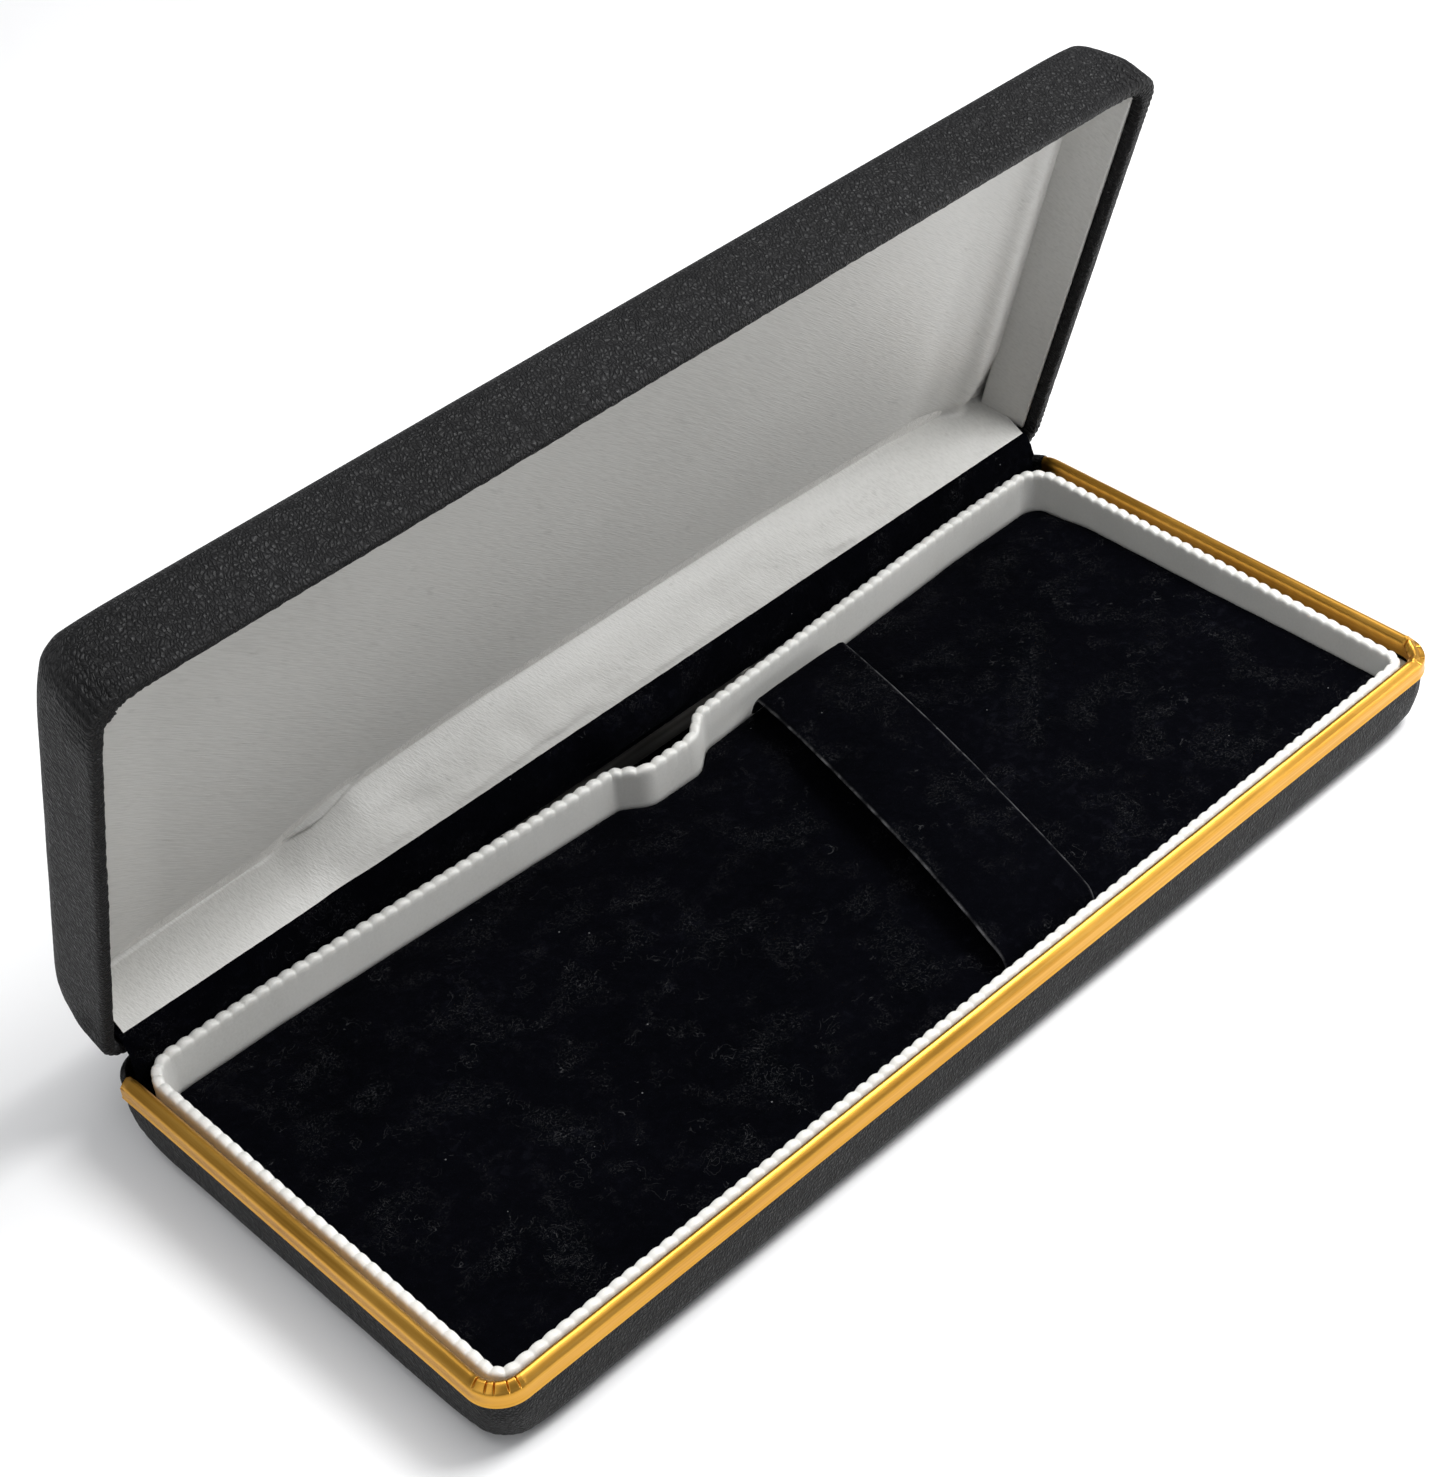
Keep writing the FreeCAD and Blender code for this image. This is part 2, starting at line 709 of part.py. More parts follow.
def lid_point(across, up):
    """A point of the lid's frame, in the base's frame at the open angle: y and z."""
    cosine = Size("cos(Sizes.open_angle * 1deg)", math.cos(math.radians(SIZES["open_angle"])))
    sine = Size("sin(Sizes.open_angle * 1deg)", math.sin(math.radians(SIZES["open_angle"])))
    across = as_size(across)
    up = as_size(up)
    return (
        size("hinge_y") + across * cosine - up * sine,
        size("hinge_z") + across * sine + up * cosine,
    )


def make_hinge_strip(doc):
    """The velvet strip that hides the hinge, hung from the lid's lining and tucked behind the collar."""
    body = new_body(doc, "hinge_strip")
    gauge = size("strip_gauge")
    back = size("strip_y")
    front = back - gauge
    foot = size("strip_foot")
    bend = size("hinge_z")
    upper = size("lining_rear_y") - 0.5
    half = size("strip_half_length")
    lower = [(front, foot), (back, foot), (back, bend)]
    outline = lower + [lid_point(upper, -gauge), lid_point(upper, 0), (front, bend)]
    section = new_sketch(body, "StripSection", role="YZ_Plane", offset=-half)
    add_polygon(section, outline)
    pad(body, section, half * 2)
    reach = size("spring_width") * 0.5 + 1
    left = size("spring_middle_x") - reach
    right = size("spring_middle_x") + reach
    window = (left, right, front - 2, back + 3)
    cut_plan(body, "StripWindow", window, bend + 5, foot + 0.8)
    return body


# Lid -------------------------------------------------------------------------------------------

def make_lid_wrap(doc):
    """The lid's leatherette skin, folded over the rim and a little way down the inside."""
    body = new_body(doc, "lid_wrap", in_lid=True)
    gauge = size("wrap_gauge")
    wall = size("lid_wall")
    bottom = -size("lid_depth")
    fold = size("turn_in_depth")
    add_tray(body, lid_outline, as_size(0), bottom, -gauge, gauge, size("lid_edge_radius"))
    rim = new_sketch(body, "LidRim", offset=-gauge)
    add_rounded_rectangle(rim, *lid_outline(0))
    add_rounded_rectangle(rim, *lid_outline(wall))
    pad(body, rim, gauge)
    turn_in = new_sketch(body, "LidTurnIn", offset=-gauge)
    add_rounded_rectangle(turn_in, *lid_outline(wall - gauge + size("glue_gap")))
    add_rounded_rectangle(turn_in, *lid_outline(wall))
    lip = pad(body, turn_in, fold - gauge, downward=True)
    round_edges(body, lip, gauge * 0.8, lies_at(0))
    lower_lid_back(body)
    notch = size("notch_half_length")
    near = size("lid_back") + gauge + size("glue_gap")
    fold_back = (-notch, notch, near, near + wall)
    cut_plan(body, "LidFoldBack", fold_back, as_size(1), -fold - size("glue_gap"))
    return body


def make_lid_shell(doc):
    """The stiff tray inside the lid's skin."""
    body = new_body(doc, "lid_shell", in_lid=True)
    skin = size("wrap_gauge") + size("glue_gap")
    gauge = size("lid_wall") - size("wrap_gauge") * 2 - size("glue_gap") * 1
    bottom = skin - size("lid_depth")
    radius = size("lid_edge_radius") - skin
    add_tray(body, lid_outline, skin, bottom, -skin, gauge, radius)
    lower_lid_back(body)
    return body


def make_lid_layer(doc, name, inset, near, low, high, radius):
    """One flat layer inside the lid."""
    body = new_body(doc, name, in_lid=True)
    left, right, _, front, _ = lid_outline(inset)
    plan = new_sketch(body, name + "Plan", offset=low)
    add_rounded_rectangle(plan, left, right, near, front, radius)
    pad(body, plan, high - low)
    return body


def make_lining_wall(doc, name, role, profile, start, length):
    """One padded satin wall of the lid: a wedge that is thicker towards the lid's top."""
    body = new_body(doc, name, in_lid=True)
    section = new_sketch(body, name + "Section", role=role, offset=start)
    add_polygon(section, profile)
    pad(body, section, length)
    return body


def make_lid_lining(doc):
    """The satin lining: a padded panel on card and wadding, and four padded walls."""
    gap = size("glue_gap")
    skin = size("lid_wall") + gap
    floor = size("wrap_gauge") + gap * 2 + (size("lid_wall") - size("wrap_gauge") * 2 - gap * 1)
    panel = size("lining_panel_z")
    rear = size("lining_rear_y")
    card_low = floor - size("lid_depth")
    card_high = card_low + size("lid_card_gauge")
    wadding_high = panel - size("lining_panel_gauge")
    rounding = size("corner_radius") - skin
    inset = skin + size("lining_wall_gauge") + 0.4
    pieces = [
        make_lid_layer(doc, "lid_card", skin + 2.2, rear, card_low, card_high, rounding),
        make_lid_layer(doc, "lid_wadding", skin + 0.6, rear, card_high, wadding_high, rounding),
        make_lid_layer(doc, "satin_panel", skin, rear, wadding_high, panel, rounding),
    ]
    mouth = -size("turn_in_depth") - gap
    floor_z = panel + gap
    thin = as_size(0.7)
    thick = size("lining_wall_gauge")
    half = size("case_length") * 0.5 - skin
    side_start = rear + size("lining_rear_gauge") + 0.3
    side_end = size("lid_front") - inset
    for name, sign in (("satin_left_wall", -1), ("satin_right_wall", 1)):
        profile = [
            (half * sign, mouth),
            ((half - thin) * sign, mouth),
            ((half - thick) * sign, floor_z),
            (half * sign, floor_z),
        ]
        start = -side_end
        pieces.append(make_lining_wall(doc, name, "XZ_Plane", profile, start, side_end - side_start))
    front = size("lid_front") - skin
    front_profile = [
        (front, mouth),
        (front - thin, mouth),
        (front - thick, floor_z),
        (front, floor_z),
    ]
    reach = half - size("corner_radius") + skin
    pieces.append(make_lining_wall(doc, "satin_front_wall", "YZ_Plane", front_profile, -reach, reach * 2))
    rear_profile = [
        (rear, as_size(-0.7)),
        (rear + size("lining_rear_gauge"), as_size(-0.7)),
        (rear + size("lining_rear_gauge"), floor_z),
        (rear, floor_z),
    ]
    rear_reach = half - 1.0
    pieces.append(
        make_lining_wall(doc, "satin_rear_wall", "YZ_Plane", rear_profile, -rear_reach, rear_reach * 2)
    )
    return pieces


# Check and write -------------------------------------------------------------------------------

def check_document(doc, pieces):
    """Stop if any object failed to rebuild or any piece isn't a valid solid."""
    for thing in doc.Objects:
        if "Invalid" in thing.State or "Error" in thing.State:
            raise RuntimeError(f"{thing.Name} failed: {thing.State}")
    for piece in pieces:
        shape = piece.Shape
        if shape.isNull() or not shape.isValid() or not shape.Solids:
            raise RuntimeError(f"{piece.Label} has no valid solid")


def write_parts(pieces):
    """Write each piece to its own STEP file."""
    os.makedirs("parts", exist_ok=True)
    for piece in pieces:
        piece.Shape.exportStep(f"parts/{piece.Label}.step")
        print(f"{piece.Label:18s} {piece.Shape.Volume:10.1f} mm3  {len(piece.Shape.Solids)} solid(s)")


def main():
    doc = FreeCAD.newDocument("JewelryBox")
    sheet = fill_sheet(doc)
    pieces = [make_base_wrap(doc), make_base_shell(doc), make_rim_channel(doc), make_wall_card(doc)]
    pieces += make_base_pad(doc, sheet)
    pieces += [make_collar(doc, sheet), make_strap(doc, sheet)]
    for of_lid in (False, True):
        pieces += [make_hinge_leaf(doc, of_lid), make_rivets(doc, of_lid)]
    pieces += [make_hinge_pin(doc), make_snap_spring(doc), make_hinge_strip(doc)]
    pieces += [make_lid_wrap(doc), make_lid_shell(doc)]
    pieces += make_lid_lining(doc)
    doc.recompute()
    check_document(doc, pieces)
    write_parts(pieces)


main()
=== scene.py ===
"""Looks for the hinged jewelry box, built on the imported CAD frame. Everything is in metres."""

import json
import math

import bpy
import numpy as np
from mathutils import Euler, Matrix, Vector, noise


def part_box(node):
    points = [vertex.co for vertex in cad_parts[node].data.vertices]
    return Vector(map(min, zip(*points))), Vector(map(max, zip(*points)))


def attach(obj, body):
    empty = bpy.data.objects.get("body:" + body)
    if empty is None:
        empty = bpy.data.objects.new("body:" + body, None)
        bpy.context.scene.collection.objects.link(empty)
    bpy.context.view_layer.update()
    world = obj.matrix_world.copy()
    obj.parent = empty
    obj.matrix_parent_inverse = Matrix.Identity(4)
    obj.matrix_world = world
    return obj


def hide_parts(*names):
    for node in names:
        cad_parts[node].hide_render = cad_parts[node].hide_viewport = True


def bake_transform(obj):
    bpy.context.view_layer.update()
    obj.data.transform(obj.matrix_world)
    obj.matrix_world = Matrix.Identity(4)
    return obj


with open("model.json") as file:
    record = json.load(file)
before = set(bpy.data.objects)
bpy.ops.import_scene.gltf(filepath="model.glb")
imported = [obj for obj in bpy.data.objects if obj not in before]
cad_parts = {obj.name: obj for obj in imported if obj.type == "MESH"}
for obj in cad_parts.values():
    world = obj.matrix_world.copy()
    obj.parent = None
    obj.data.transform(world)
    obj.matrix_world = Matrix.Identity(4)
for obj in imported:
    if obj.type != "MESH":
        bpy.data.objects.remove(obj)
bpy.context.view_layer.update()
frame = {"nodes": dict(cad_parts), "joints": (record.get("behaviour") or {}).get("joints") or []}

MM = 0.001
JOINT = frame["joints"][0]
AXIS = Vector(JOINT["pos_m"])
OPEN_ANGLE = math.pi - math.radians(JOINT["range_deg"][1])
LID_FRAME = Matrix.Translation(AXIS) @ Matrix.Rotation(OPEN_ANGLE, 4, "X")


# Places from the CAD ------------------------

def base_box(node):
    """A node's box in millimetres, as two arrays."""
    low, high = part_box(node)
    return np.array(low) / MM, np.array(high) / MM


def lid_box(node):
    """A node's box in the lid's own frame, in millimetres."""
    back = LID_FRAME.inverted()
    points = np.array([back @ vertex.co for vertex in frame["nodes"][node].data.vertices]) / MM
    return points.min(0), points.max(0)


WRAP_LOW, WRAP_HIGH = base_box("base_wrap")
RIM_LOW, RIM_HIGH = base_box("rim_channel")
COLLAR_LOW, COLLAR_HIGH = base_box("collar_strip")
PAD_LOW, PAD_HIGH = base_box("velvet_pad")
STRAP_LOW, STRAP_HIGH = base_box("velvet_strap")
LID_LOW, LID_HIGH = lid_box("lid_wrap")
PANEL_HIGH = lid_box("satin_panel")[1]
CORNER = 5.1
HINGE_HALF = 83
SPRING_X = 1.5


# Mesh tools ------------------------

def make_mesh(name, points, faces, body, matrix=None, smooth=True):
    """A mesh object from millimetre points, placed in the row frame and riding on a body."""
    mesh = bpy.data.meshes.new(name)
    mesh.from_pydata((np.asarray(points) * MM).tolist(), [], faces)
    mesh.validate()
    if matrix is not None:
        mesh.transform(matrix)
    if smooth:
        mesh.polygons.foreach_set("use_smooth", [True] * len(mesh.polygons))
    mesh.update()
    piece = bpy.data.objects.new(name, mesh)
    bpy.context.scene.collection.objects.link(piece)
    if body is not None:
        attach(piece, body)
    return piece


def rounded_path(corners, step, arc_step=None, closed=True):
    """A plan path round corners of (x, y, radius), anticlockwise.

    Returns the points, their outward normals, the length run to each, and which corner's arc each is on
    (or -1), with how far round that arc it is.
    """
    arc_step = arc_step or step
    count = len(corners)
    points, normals, corner_ids, shares = [], [], [], []
    plan = [np.array(corner[:2], float) for corner in corners]
    tangents = []
    for i, (_, _, radius) in enumerate(corners):
        if not closed and i in (0, count - 1):
            tangents.append((plan[i], plan[i], None))
            continue
        back = plan[i - 1] - plan[i]
        ahead = plan[(i + 1) % count] - plan[i]
        back = back / np.linalg.norm(back)
        ahead = ahead / np.linalg.norm(ahead)
        half = math.acos(float(np.clip(back @ ahead, -1, 1))) / 2
        reach = radius / math.tan(half)
        middle = (back + ahead) / np.linalg.norm(back + ahead)
        centre = plan[i] + middle * (radius / math.sin(half))
        tangents.append((plan[i] + back * reach, plan[i] + ahead * reach, centre))

    def add(point, normal, corner, share):
        points.append(point)
        normals.append(normal)
        corner_ids.append(corner)
        shares.append(share)

    for i in range(count):
        start, end, centre = tangents[i]
        if centre is not None:
            a = math.atan2(*(start - centre)[::-1])
            b = math.atan2(*(end - centre)[::-1])
            turn = (b - a + math.pi) % (2 * math.pi) - math.pi
            radius = float(np.linalg.norm(start - centre))
            steps = max(3, int(abs(turn) * radius / arc_step))
            for k in range(steps):
                share = k / steps
                angle = a + turn * share
                out = np.array([math.cos(angle), math.sin(angle)])
                add(centre + out * radius, out * (1 if turn > 0 else -1), i, share)
        if not closed and i == count - 1:
            run = plan[i] - tangents[i - 1][1]
            run = run / np.linalg.norm(run)
            add(plan[i], np.array([run[1], -run[0]]), -1, 0.0)
            break
        following = tangents[(i + 1) % count][0]
        run = following - end
        length = float(np.linalg.norm(run))
        run = run / length
        steps = max(1, int(length / step))
        for k in range(steps):
            add(end + run * (length * k / steps), np.array([run[1], -run[0]]), -1, k / steps)
    points = np.array(points)
    gaps = np.linalg.norm(np.diff(points, axis=0, append=points[:1]), axis=1)
    length_run = np.concatenate([[0], np.cumsum(gaps)[:-1]])
    return points, np.array(normals), length_run, np.array(corner_ids), np.array(shares)


def rounded_rectangle(left, right, front, back, radius, step, arc_step=None):
    """The path round a plain rounded rectangle."""
    corners = [(left, front, radius), (right, front, radius), (right, back, radius), (left, back, radius)]
    return rounded_path(corners, step, arc_step)


def grid_faces(rows, columns, close_rows=False, close_columns=False):
    """Quads over a grid of points, row by row."""
    faces = []
    for i in range(rows if close_rows else rows - 1):
        for j in range(columns if close_columns else columns - 1):
            a = i * columns + j
            b = i * columns + (j + 1) % columns
            c = ((i + 1) % rows) * columns + (j + 1) % columns
            d = ((i + 1) % rows) * columns + j
            faces.append((a, d, c, b))
    return faces


def flipped(faces):
    """The same faces, turned over."""
    return [tuple(reversed(face)) for face in faces]


def slab(front, back, flip):
    """The points and faces of a closed slab between two grids of points."""
    rows, columns = front.shape[:2]
    rim = list(range(columns))
    rim += [i * columns + columns - 1 for i in range(1, rows)]
    rim += [(rows - 1) * columns + j for j in reversed(range(columns - 1))]
    rim += [i * columns for i in reversed(range(1, rows - 1))]
    shift = rows * columns
    faces = grid_faces(rows, columns)
    faces += [tuple(i + shift for i in reversed(face)) for face in faces]
    for k, a in enumerate(rim):
        b = rim[(k + 1) % len(rim)]
        faces.append((a, b, b + shift, a + shift))
    points = np.concatenate([front.reshape(-1, 3), back.reshape(-1, 3)])
    return points, flipped(faces) if flip else faces


def cap_ends(faces, stations, columns):
    """Close both ends of a swept tube."""
    faces.append(tuple(range(columns)))
    last = (stations - 1) * columns
    faces.append(tuple(last + k for k in reversed(range(columns))))


def at_stations(profile, stations):
    """A profile's insets and heights, repeated for each station of a path."""
    return np.tile(profile[:, 0], (stations, 1)), np.tile(profile[:, 1], (stations, 1))


def sweep_points(path, insets, heights):
    """Points of a profile swept along a plan path: an inset and a height for each station and step."""
    points, normals = path[0], path[1]
    out = np.zeros((len(points), insets.shape[1], 3))
    out[:, :, :2] = points[:, None, :] - normals[:, None, :] * insets[:, :, None]
    out[:, :, 2] = heights
    return out


def wobble(values, seed, scale):
    """Smooth noise along one number, from about -1 to 1."""
    return np.array([noise.noise(Vector((v * scale, seed * 7.31, 0.5))) for v in values])


def wobble_at(points, scale, seed=0.0):
    """Smooth noise at each point, from about -1 to 1."""
    flat = np.asarray(points).reshape(-1, 3) * scale
    shift = Vector((seed, seed * 1.7, seed * 0.3))
    values = np.array([noise.noise(Vector(p) + shift) for p in flat])
    return values.reshape(np.asarray(points).shape[:-1])


def smoothstep(values, low, high):
    """0 below low, 1 above high and a smooth rise between them."""
    t = np.clip((np.asarray(values, float) - low) / (high - low), 0, 1)
    return t * t * (3 - 2 * t)


def arc_points(centre, radius, start, end, steps):
    """Points on an arc of a profile, angles in degrees from the inset axis towards the height axis."""
    angles = np.radians(np.linspace(start, end, steps))
    return [(centre[0] + radius * math.cos(a), centre[1] + radius * math.sin(a)) for a in angles]


# Materials ------------------------

class Nodes:
    """A small helper for one material's node tree."""

    def __init__(self, name):
        self.material = bpy.data.materials.new(name)
        self.material.use_nodes = True
        self.tree = self.material.node_tree
        self.shader = self.tree.nodes["Principled BSDF"]
        self.place = self.add("ShaderNodeTexCoord").outputs["Object"]

    def add(self, kind, **settings):
        node = self.tree.nodes.new(kind)
        for name, value in settings.items():
            setattr(node, name, value)
        return node

    def link(self, source, target):
        self.tree.links.new(source, target)

    def set(self, **values):
        for name, value in values.items():
            self.shader.inputs[name.replace("_", " ")].default_value = value

    def mapped(self, scale=(1, 1, 1), rotation=(0, 0, 0), source=None):
        node = self.add("ShaderNodeMapping")
        node.inputs["Scale"].default_value = scale
        node.inputs["Rotation"].default_value = [math.radians(a) for a in rotation]
        self.link(source or self.place, node.inputs["Vector"])
        return node.outputs["Vector"]

    def stretched(self, direction, share, source=None):
        """Coordinates in which patterns come out drawn out along a direction, by this share."""
        node = self.add("ShaderNodeMapping", vector_type="TEXTURE")
        node.inputs["Scale"].default_value = (1, 1, share)
        node.inputs["Rotation"].default_value = Vector(direction).to_track_quat("Z", "Y").to_euler()
        self.link(source or self.place, node.inputs["Vector"])
        return node.outputs["Vector"]

    def noise(self, scale, detail=2.0, roughness=0.5, distortion=0.0, source=None):
        node = self.add("ShaderNodeTexNoise")
        node.inputs["Scale"].default_value = scale
        node.inputs["Detail"].default_value = detail
        node.inputs["Roughness"].default_value = roughness
        node.inputs["Distortion"].default_value = distortion
        self.link(source or self.place, node.inputs["Vector"])
        return node.outputs["Fac"]

    def voronoi(self, scale, feature="F1", source=None):
        node = self.add("ShaderNodeTexVoronoi", feature=feature)
        node.inputs["Scale"].default_value = scale
        self.link(source or self.place, node.inputs["Vector"])
        return node.outputs["Distance"]

    def math(self, operation, a, b=None):
        node = self.add("ShaderNodeMath", operation=operation)
        for socket, value in zip(node.inputs, (a, b)):
            if value is None:
                continue
            if isinstance(value, (int, float)):
                socket.default_value = value
            else:
                self.link(value, socket)
        return node.outputs["Value"]

    def near_half(self, source, reach):
        """1 where a value is within reach of a half, and 0 elsewhere: thin wandering lines in a noise."""
        return self.math("LESS_THAN", self.math("ABSOLUTE", self.math("SUBTRACT", source, 0.5)), reach)

    def ramp(self, source, stops):
        node = self.add("ShaderNodeValToRGB")
        ramp = node.color_ramp
        while len(ramp.elements) < len(stops):
            ramp.elements.new(0.5)
        for element, (position, colour) in zip(ramp.elements, stops):
            element.position = position
            element.color = (*colour, 1)
        self.link(source, node.inputs["Fac"])
        return node.outputs["Color"]

    def span(self, source, low, high, to_low, to_high):
        node = self.add("ShaderNodeMapRange")
        for name, value in (("From Min", low), ("From Max", high), ("To Min", to_low), ("To Max", to_high)):
            node.inputs[name].default_value = value
        self.link(source, node.inputs["Value"])
        return node.outputs["Result"]

    def attribute(self, name):
        return self.add("ShaderNodeAttribute", attribute_name=name).outputs["Fac"]

    def mix(self, share, start, colour):
        """A blend from a colour socket to a plain colour."""
        node = self.add("ShaderNodeMix", data_type="RGBA")
        first, second = [socket for socket in node.inputs if socket.type == "RGBA"]
        self.link(share, node.inputs["Factor"])
        self.link(start, first)
        second.default_value = (*colour, 1)
        return [socket for socket in node.outputs if socket.type == "RGBA"][0]

    def bump(self, height, distance, strength=1.0):
        node = self.add("ShaderNodeBump")
        node.inputs["Distance"].default_value = distance
        node.inputs["Strength"].default_value = strength
        self.link(height, node.inputs["Height"])
        return node.outputs["Normal"]

    def finish(self, colour=None, roughness=None, normal=None):
        for value, name in ((colour, "Base Color"), (roughness, "Roughness"), (normal, "Normal")):
            if value is not None:
                self.link(value, self.shader.inputs[name])
        return self.material


def leather_material():
    """Black crepe leatherette: drawn-out pebbles, with painted highlight on their crowns and painted shade
    in the creases between, over a soft random tone.
    """
    n = Nodes("crepe_leatherette")
    wander = n.add("ShaderNodeTexNoise")
    wander.inputs["Scale"].default_value = 520
    wander.inputs["Detail"].default_value = 2.0
    n.link(n.place, wander.inputs["Vector"])
    bent = n.add("ShaderNodeVectorMath", operation="MULTIPLY_ADD")
    bent.inputs[1].default_value = (0.0012, 0.0012, 0.0012)
    n.link(wander.outputs["Color"], bent.inputs[0])
    n.link(n.place, bent.inputs[2])
    drawn = n.stretched((0.26, 0.67, 0.70), 2.5, source=bent.outputs["Vector"])
    pebbles = n.voronoi(2100, feature="DISTANCE_TO_EDGE", source=drawn)
    pebble = n.math("POWER", n.span(pebbles, 0.0, 0.42, 0.0, 1.0), 0.7)
    across = n.stretched((0.8, 0.35, 0.5), 1.9)
    crossed = n.noise(900, detail=2.0, roughness=0.55, distortion=0.9, source=across)
    pores = n.noise(5200, detail=1.0)
    grain = n.math("ADD", n.math("MULTIPLY", pebble, 0.75), n.math("MULTIPLY", crossed, 0.7))
    grain = n.math("ADD", grain, n.math("MULTIPLY", pores, 0.12))
    soft = n.noise(45, detail=2.0)
    # The colour follows the grain's height: painted shade in the creases and painted highlight on the
    # crowns, plus a soft random tone.
    tone = n.math("ADD", n.span(grain, 0.40, 1.25, 0.0, 0.85), n.span(soft, 0.35, 0.65, -0.08, 0.12))
    colour = n.ramp(tone, [
        (0.0, (0.0014, 0.0014, 0.0016)),
        (0.5, (0.0052, 0.0052, 0.0057)),
        (1.0, (0.0150, 0.0150, 0.0160)),
    ])
    rough = n.span(grain, 0.4, 1.3, 0.66, 0.44)
    normal = n.bump(grain, 0.00028, 1.0)
    n.set(Specular_IOR_Level=0.26)
    return n.finish(colour, rough, normal)


def gold_material():
    """Gold-toned metal, finely brushed along its length and a little scratched."""
    n = Nodes("brushed_gold")
    streak = n.noise(900, detail=4.0, roughness=0.6, source=n.mapped(scale=(0.02, 0.02, 3.0)))
    broad = n.noise(55, detail=2.0)
    scratch = n.noise(300, detail=2.0, source=n.mapped(scale=(0.05, 0.05, 4.0), rotation=(0, 0, 3)))
    tone = n.math("ADD", n.span(streak, 0.3, 0.7, 0.2, 0.8), n.span(broad, 0.3, 0.7, -0.15, 0.15))
    colour = n.ramp(tone, [
        (0.0, (0.46, 0.215, 0.028)),
        (0.5, (0.62, 0.32, 0.050)),
        (1.0, (0.74, 0.43, 0.095)),
    ])
    rough = n.math("ADD", n.span(streak, 0.3, 0.7, 0.30, 0.40), n.span(broad, 0.3, 0.7, -0.04, 0.06))
    height = n.math("ADD", n.math("MULTIPLY", streak, 0.6), n.math("MULTIPLY", scratch, 0.4))
    normal = n.bump(height, 0.00002, 0.6)
    n.set(Metallic=1.0)
    return n.finish(colour, rough, normal)


def collar_material():
    """Off-white embossed strip with a soft gloss and a faint paper mottle."""
    n = Nodes("collar_white")
    fine = n.noise(2600, detail=3.0)
    broad = n.noise(70, detail=2.0)
    tone = n.math("ADD", n.span(broad, 0.3, 0.7, 0.3, 0.7), n.span(fine, 0.3, 0.7, -0.12, 0.12))
    colour = n.ramp(tone, [
        (0.0, (0.56, 0.558, 0.53)),
        (0.5, (0.66, 0.657, 0.63)),
        (1.0, (0.73, 0.726, 0.70)),
    ])
    rough = n.span(fine, 0.3, 0.7, 0.34, 0.50)
    normal = n.bump(fine, 0.00002, 0.5)
    n.set(Subsurface_Weight=0.10, Subsurface_Scale=0.0012, Subsurface_Radius=(1.0, 0.9, 0.8))
    return n.finish(colour, rough, normal)


def velvet_material(name, painted_edge_sheen):
    """Black velvet: a deep pile in soft clumps, with rubbed patches and a few specks and fibres of lint.

    With painted_edge_sheen, a pale line of painted sheen, broken up by noise, follows the piece's "edge"
    attribute.
    """
    n = Nodes(name)
    pile = n.noise(5200, detail=2.0, roughness=0.7)
    clumps = n.noise(640, detail=3.0, roughness=0.6, distortion=0.6)
    patches = n.noise(42, detail=3.0, roughness=0.6, distortion=0.4)
    tone = n.math("ADD", n.span(patches, 0.35, 0.7, 0.0, 0.5), n.span(clumps, 0.42, 0.75, 0.0, 0.5))
    dark = n.ramp(tone, [
        (0.0, (0.0004, 0.0005, 0.0011)),
        (0.6, (0.0010, 0.0011, 0.0021)),
        (1.0, (0.0036, 0.0038, 0.0060)),
    ])
    specks = n.math("LESS_THAN", n.voronoi(190), 0.022)
    thin = n.near_half(n.noise(430, distortion=1.2), 0.0042)
    sparse = n.math("GREATER_THAN", n.noise(230, detail=1.0, source=n.mapped(rotation=(0, 0, 40))), 0.63)
    fibres = n.math("MULTIPLY", n.math("MULTIPLY", thin, sparse), 0.10)
    fuzz = n.near_half(n.noise(1000, distortion=1.5), 0.008)
    strewn = n.span(n.noise(150, detail=3.0, source=n.mapped(rotation=(0, 0, 15))), 0.50, 0.62, 0.0, 0.09)
    fluff = n.math("ADD", fibres, n.math("MULTIPLY", fuzz, strewn))
    lint_and_sheen = n.math("ADD", n.math("MULTIPLY", specks, 0.45), fluff)
    if painted_edge_sheen:
        # Painted sheen: a pale, uneven line along the strap's turned edges, added to the lint.
        uneven = n.span(n.noise(420, detail=3.0), 0.40, 0.60, 0.04, 0.30)
        sheen_line = n.math("MULTIPLY", n.attribute("edge"), uneven)
        lint_and_sheen = n.math("ADD", lint_and_sheen, sheen_line)
    colour = n.mix(lint_and_sheen, dark, (0.26, 0.26, 0.27))
    height = n.math("ADD", n.math("MULTIPLY", pile, 0.5), clumps)
    normal = n.bump(height, 0.00030, 0.9)
    n.set(Roughness=0.95, Specular_IOR_Level=0.02, Sheen_Weight=0.007, Sheen_Roughness=0.35)
    n.set(Sheen_Tint=(0.60, 0.66, 0.85, 1))
    return n.finish(colour, None, normal)


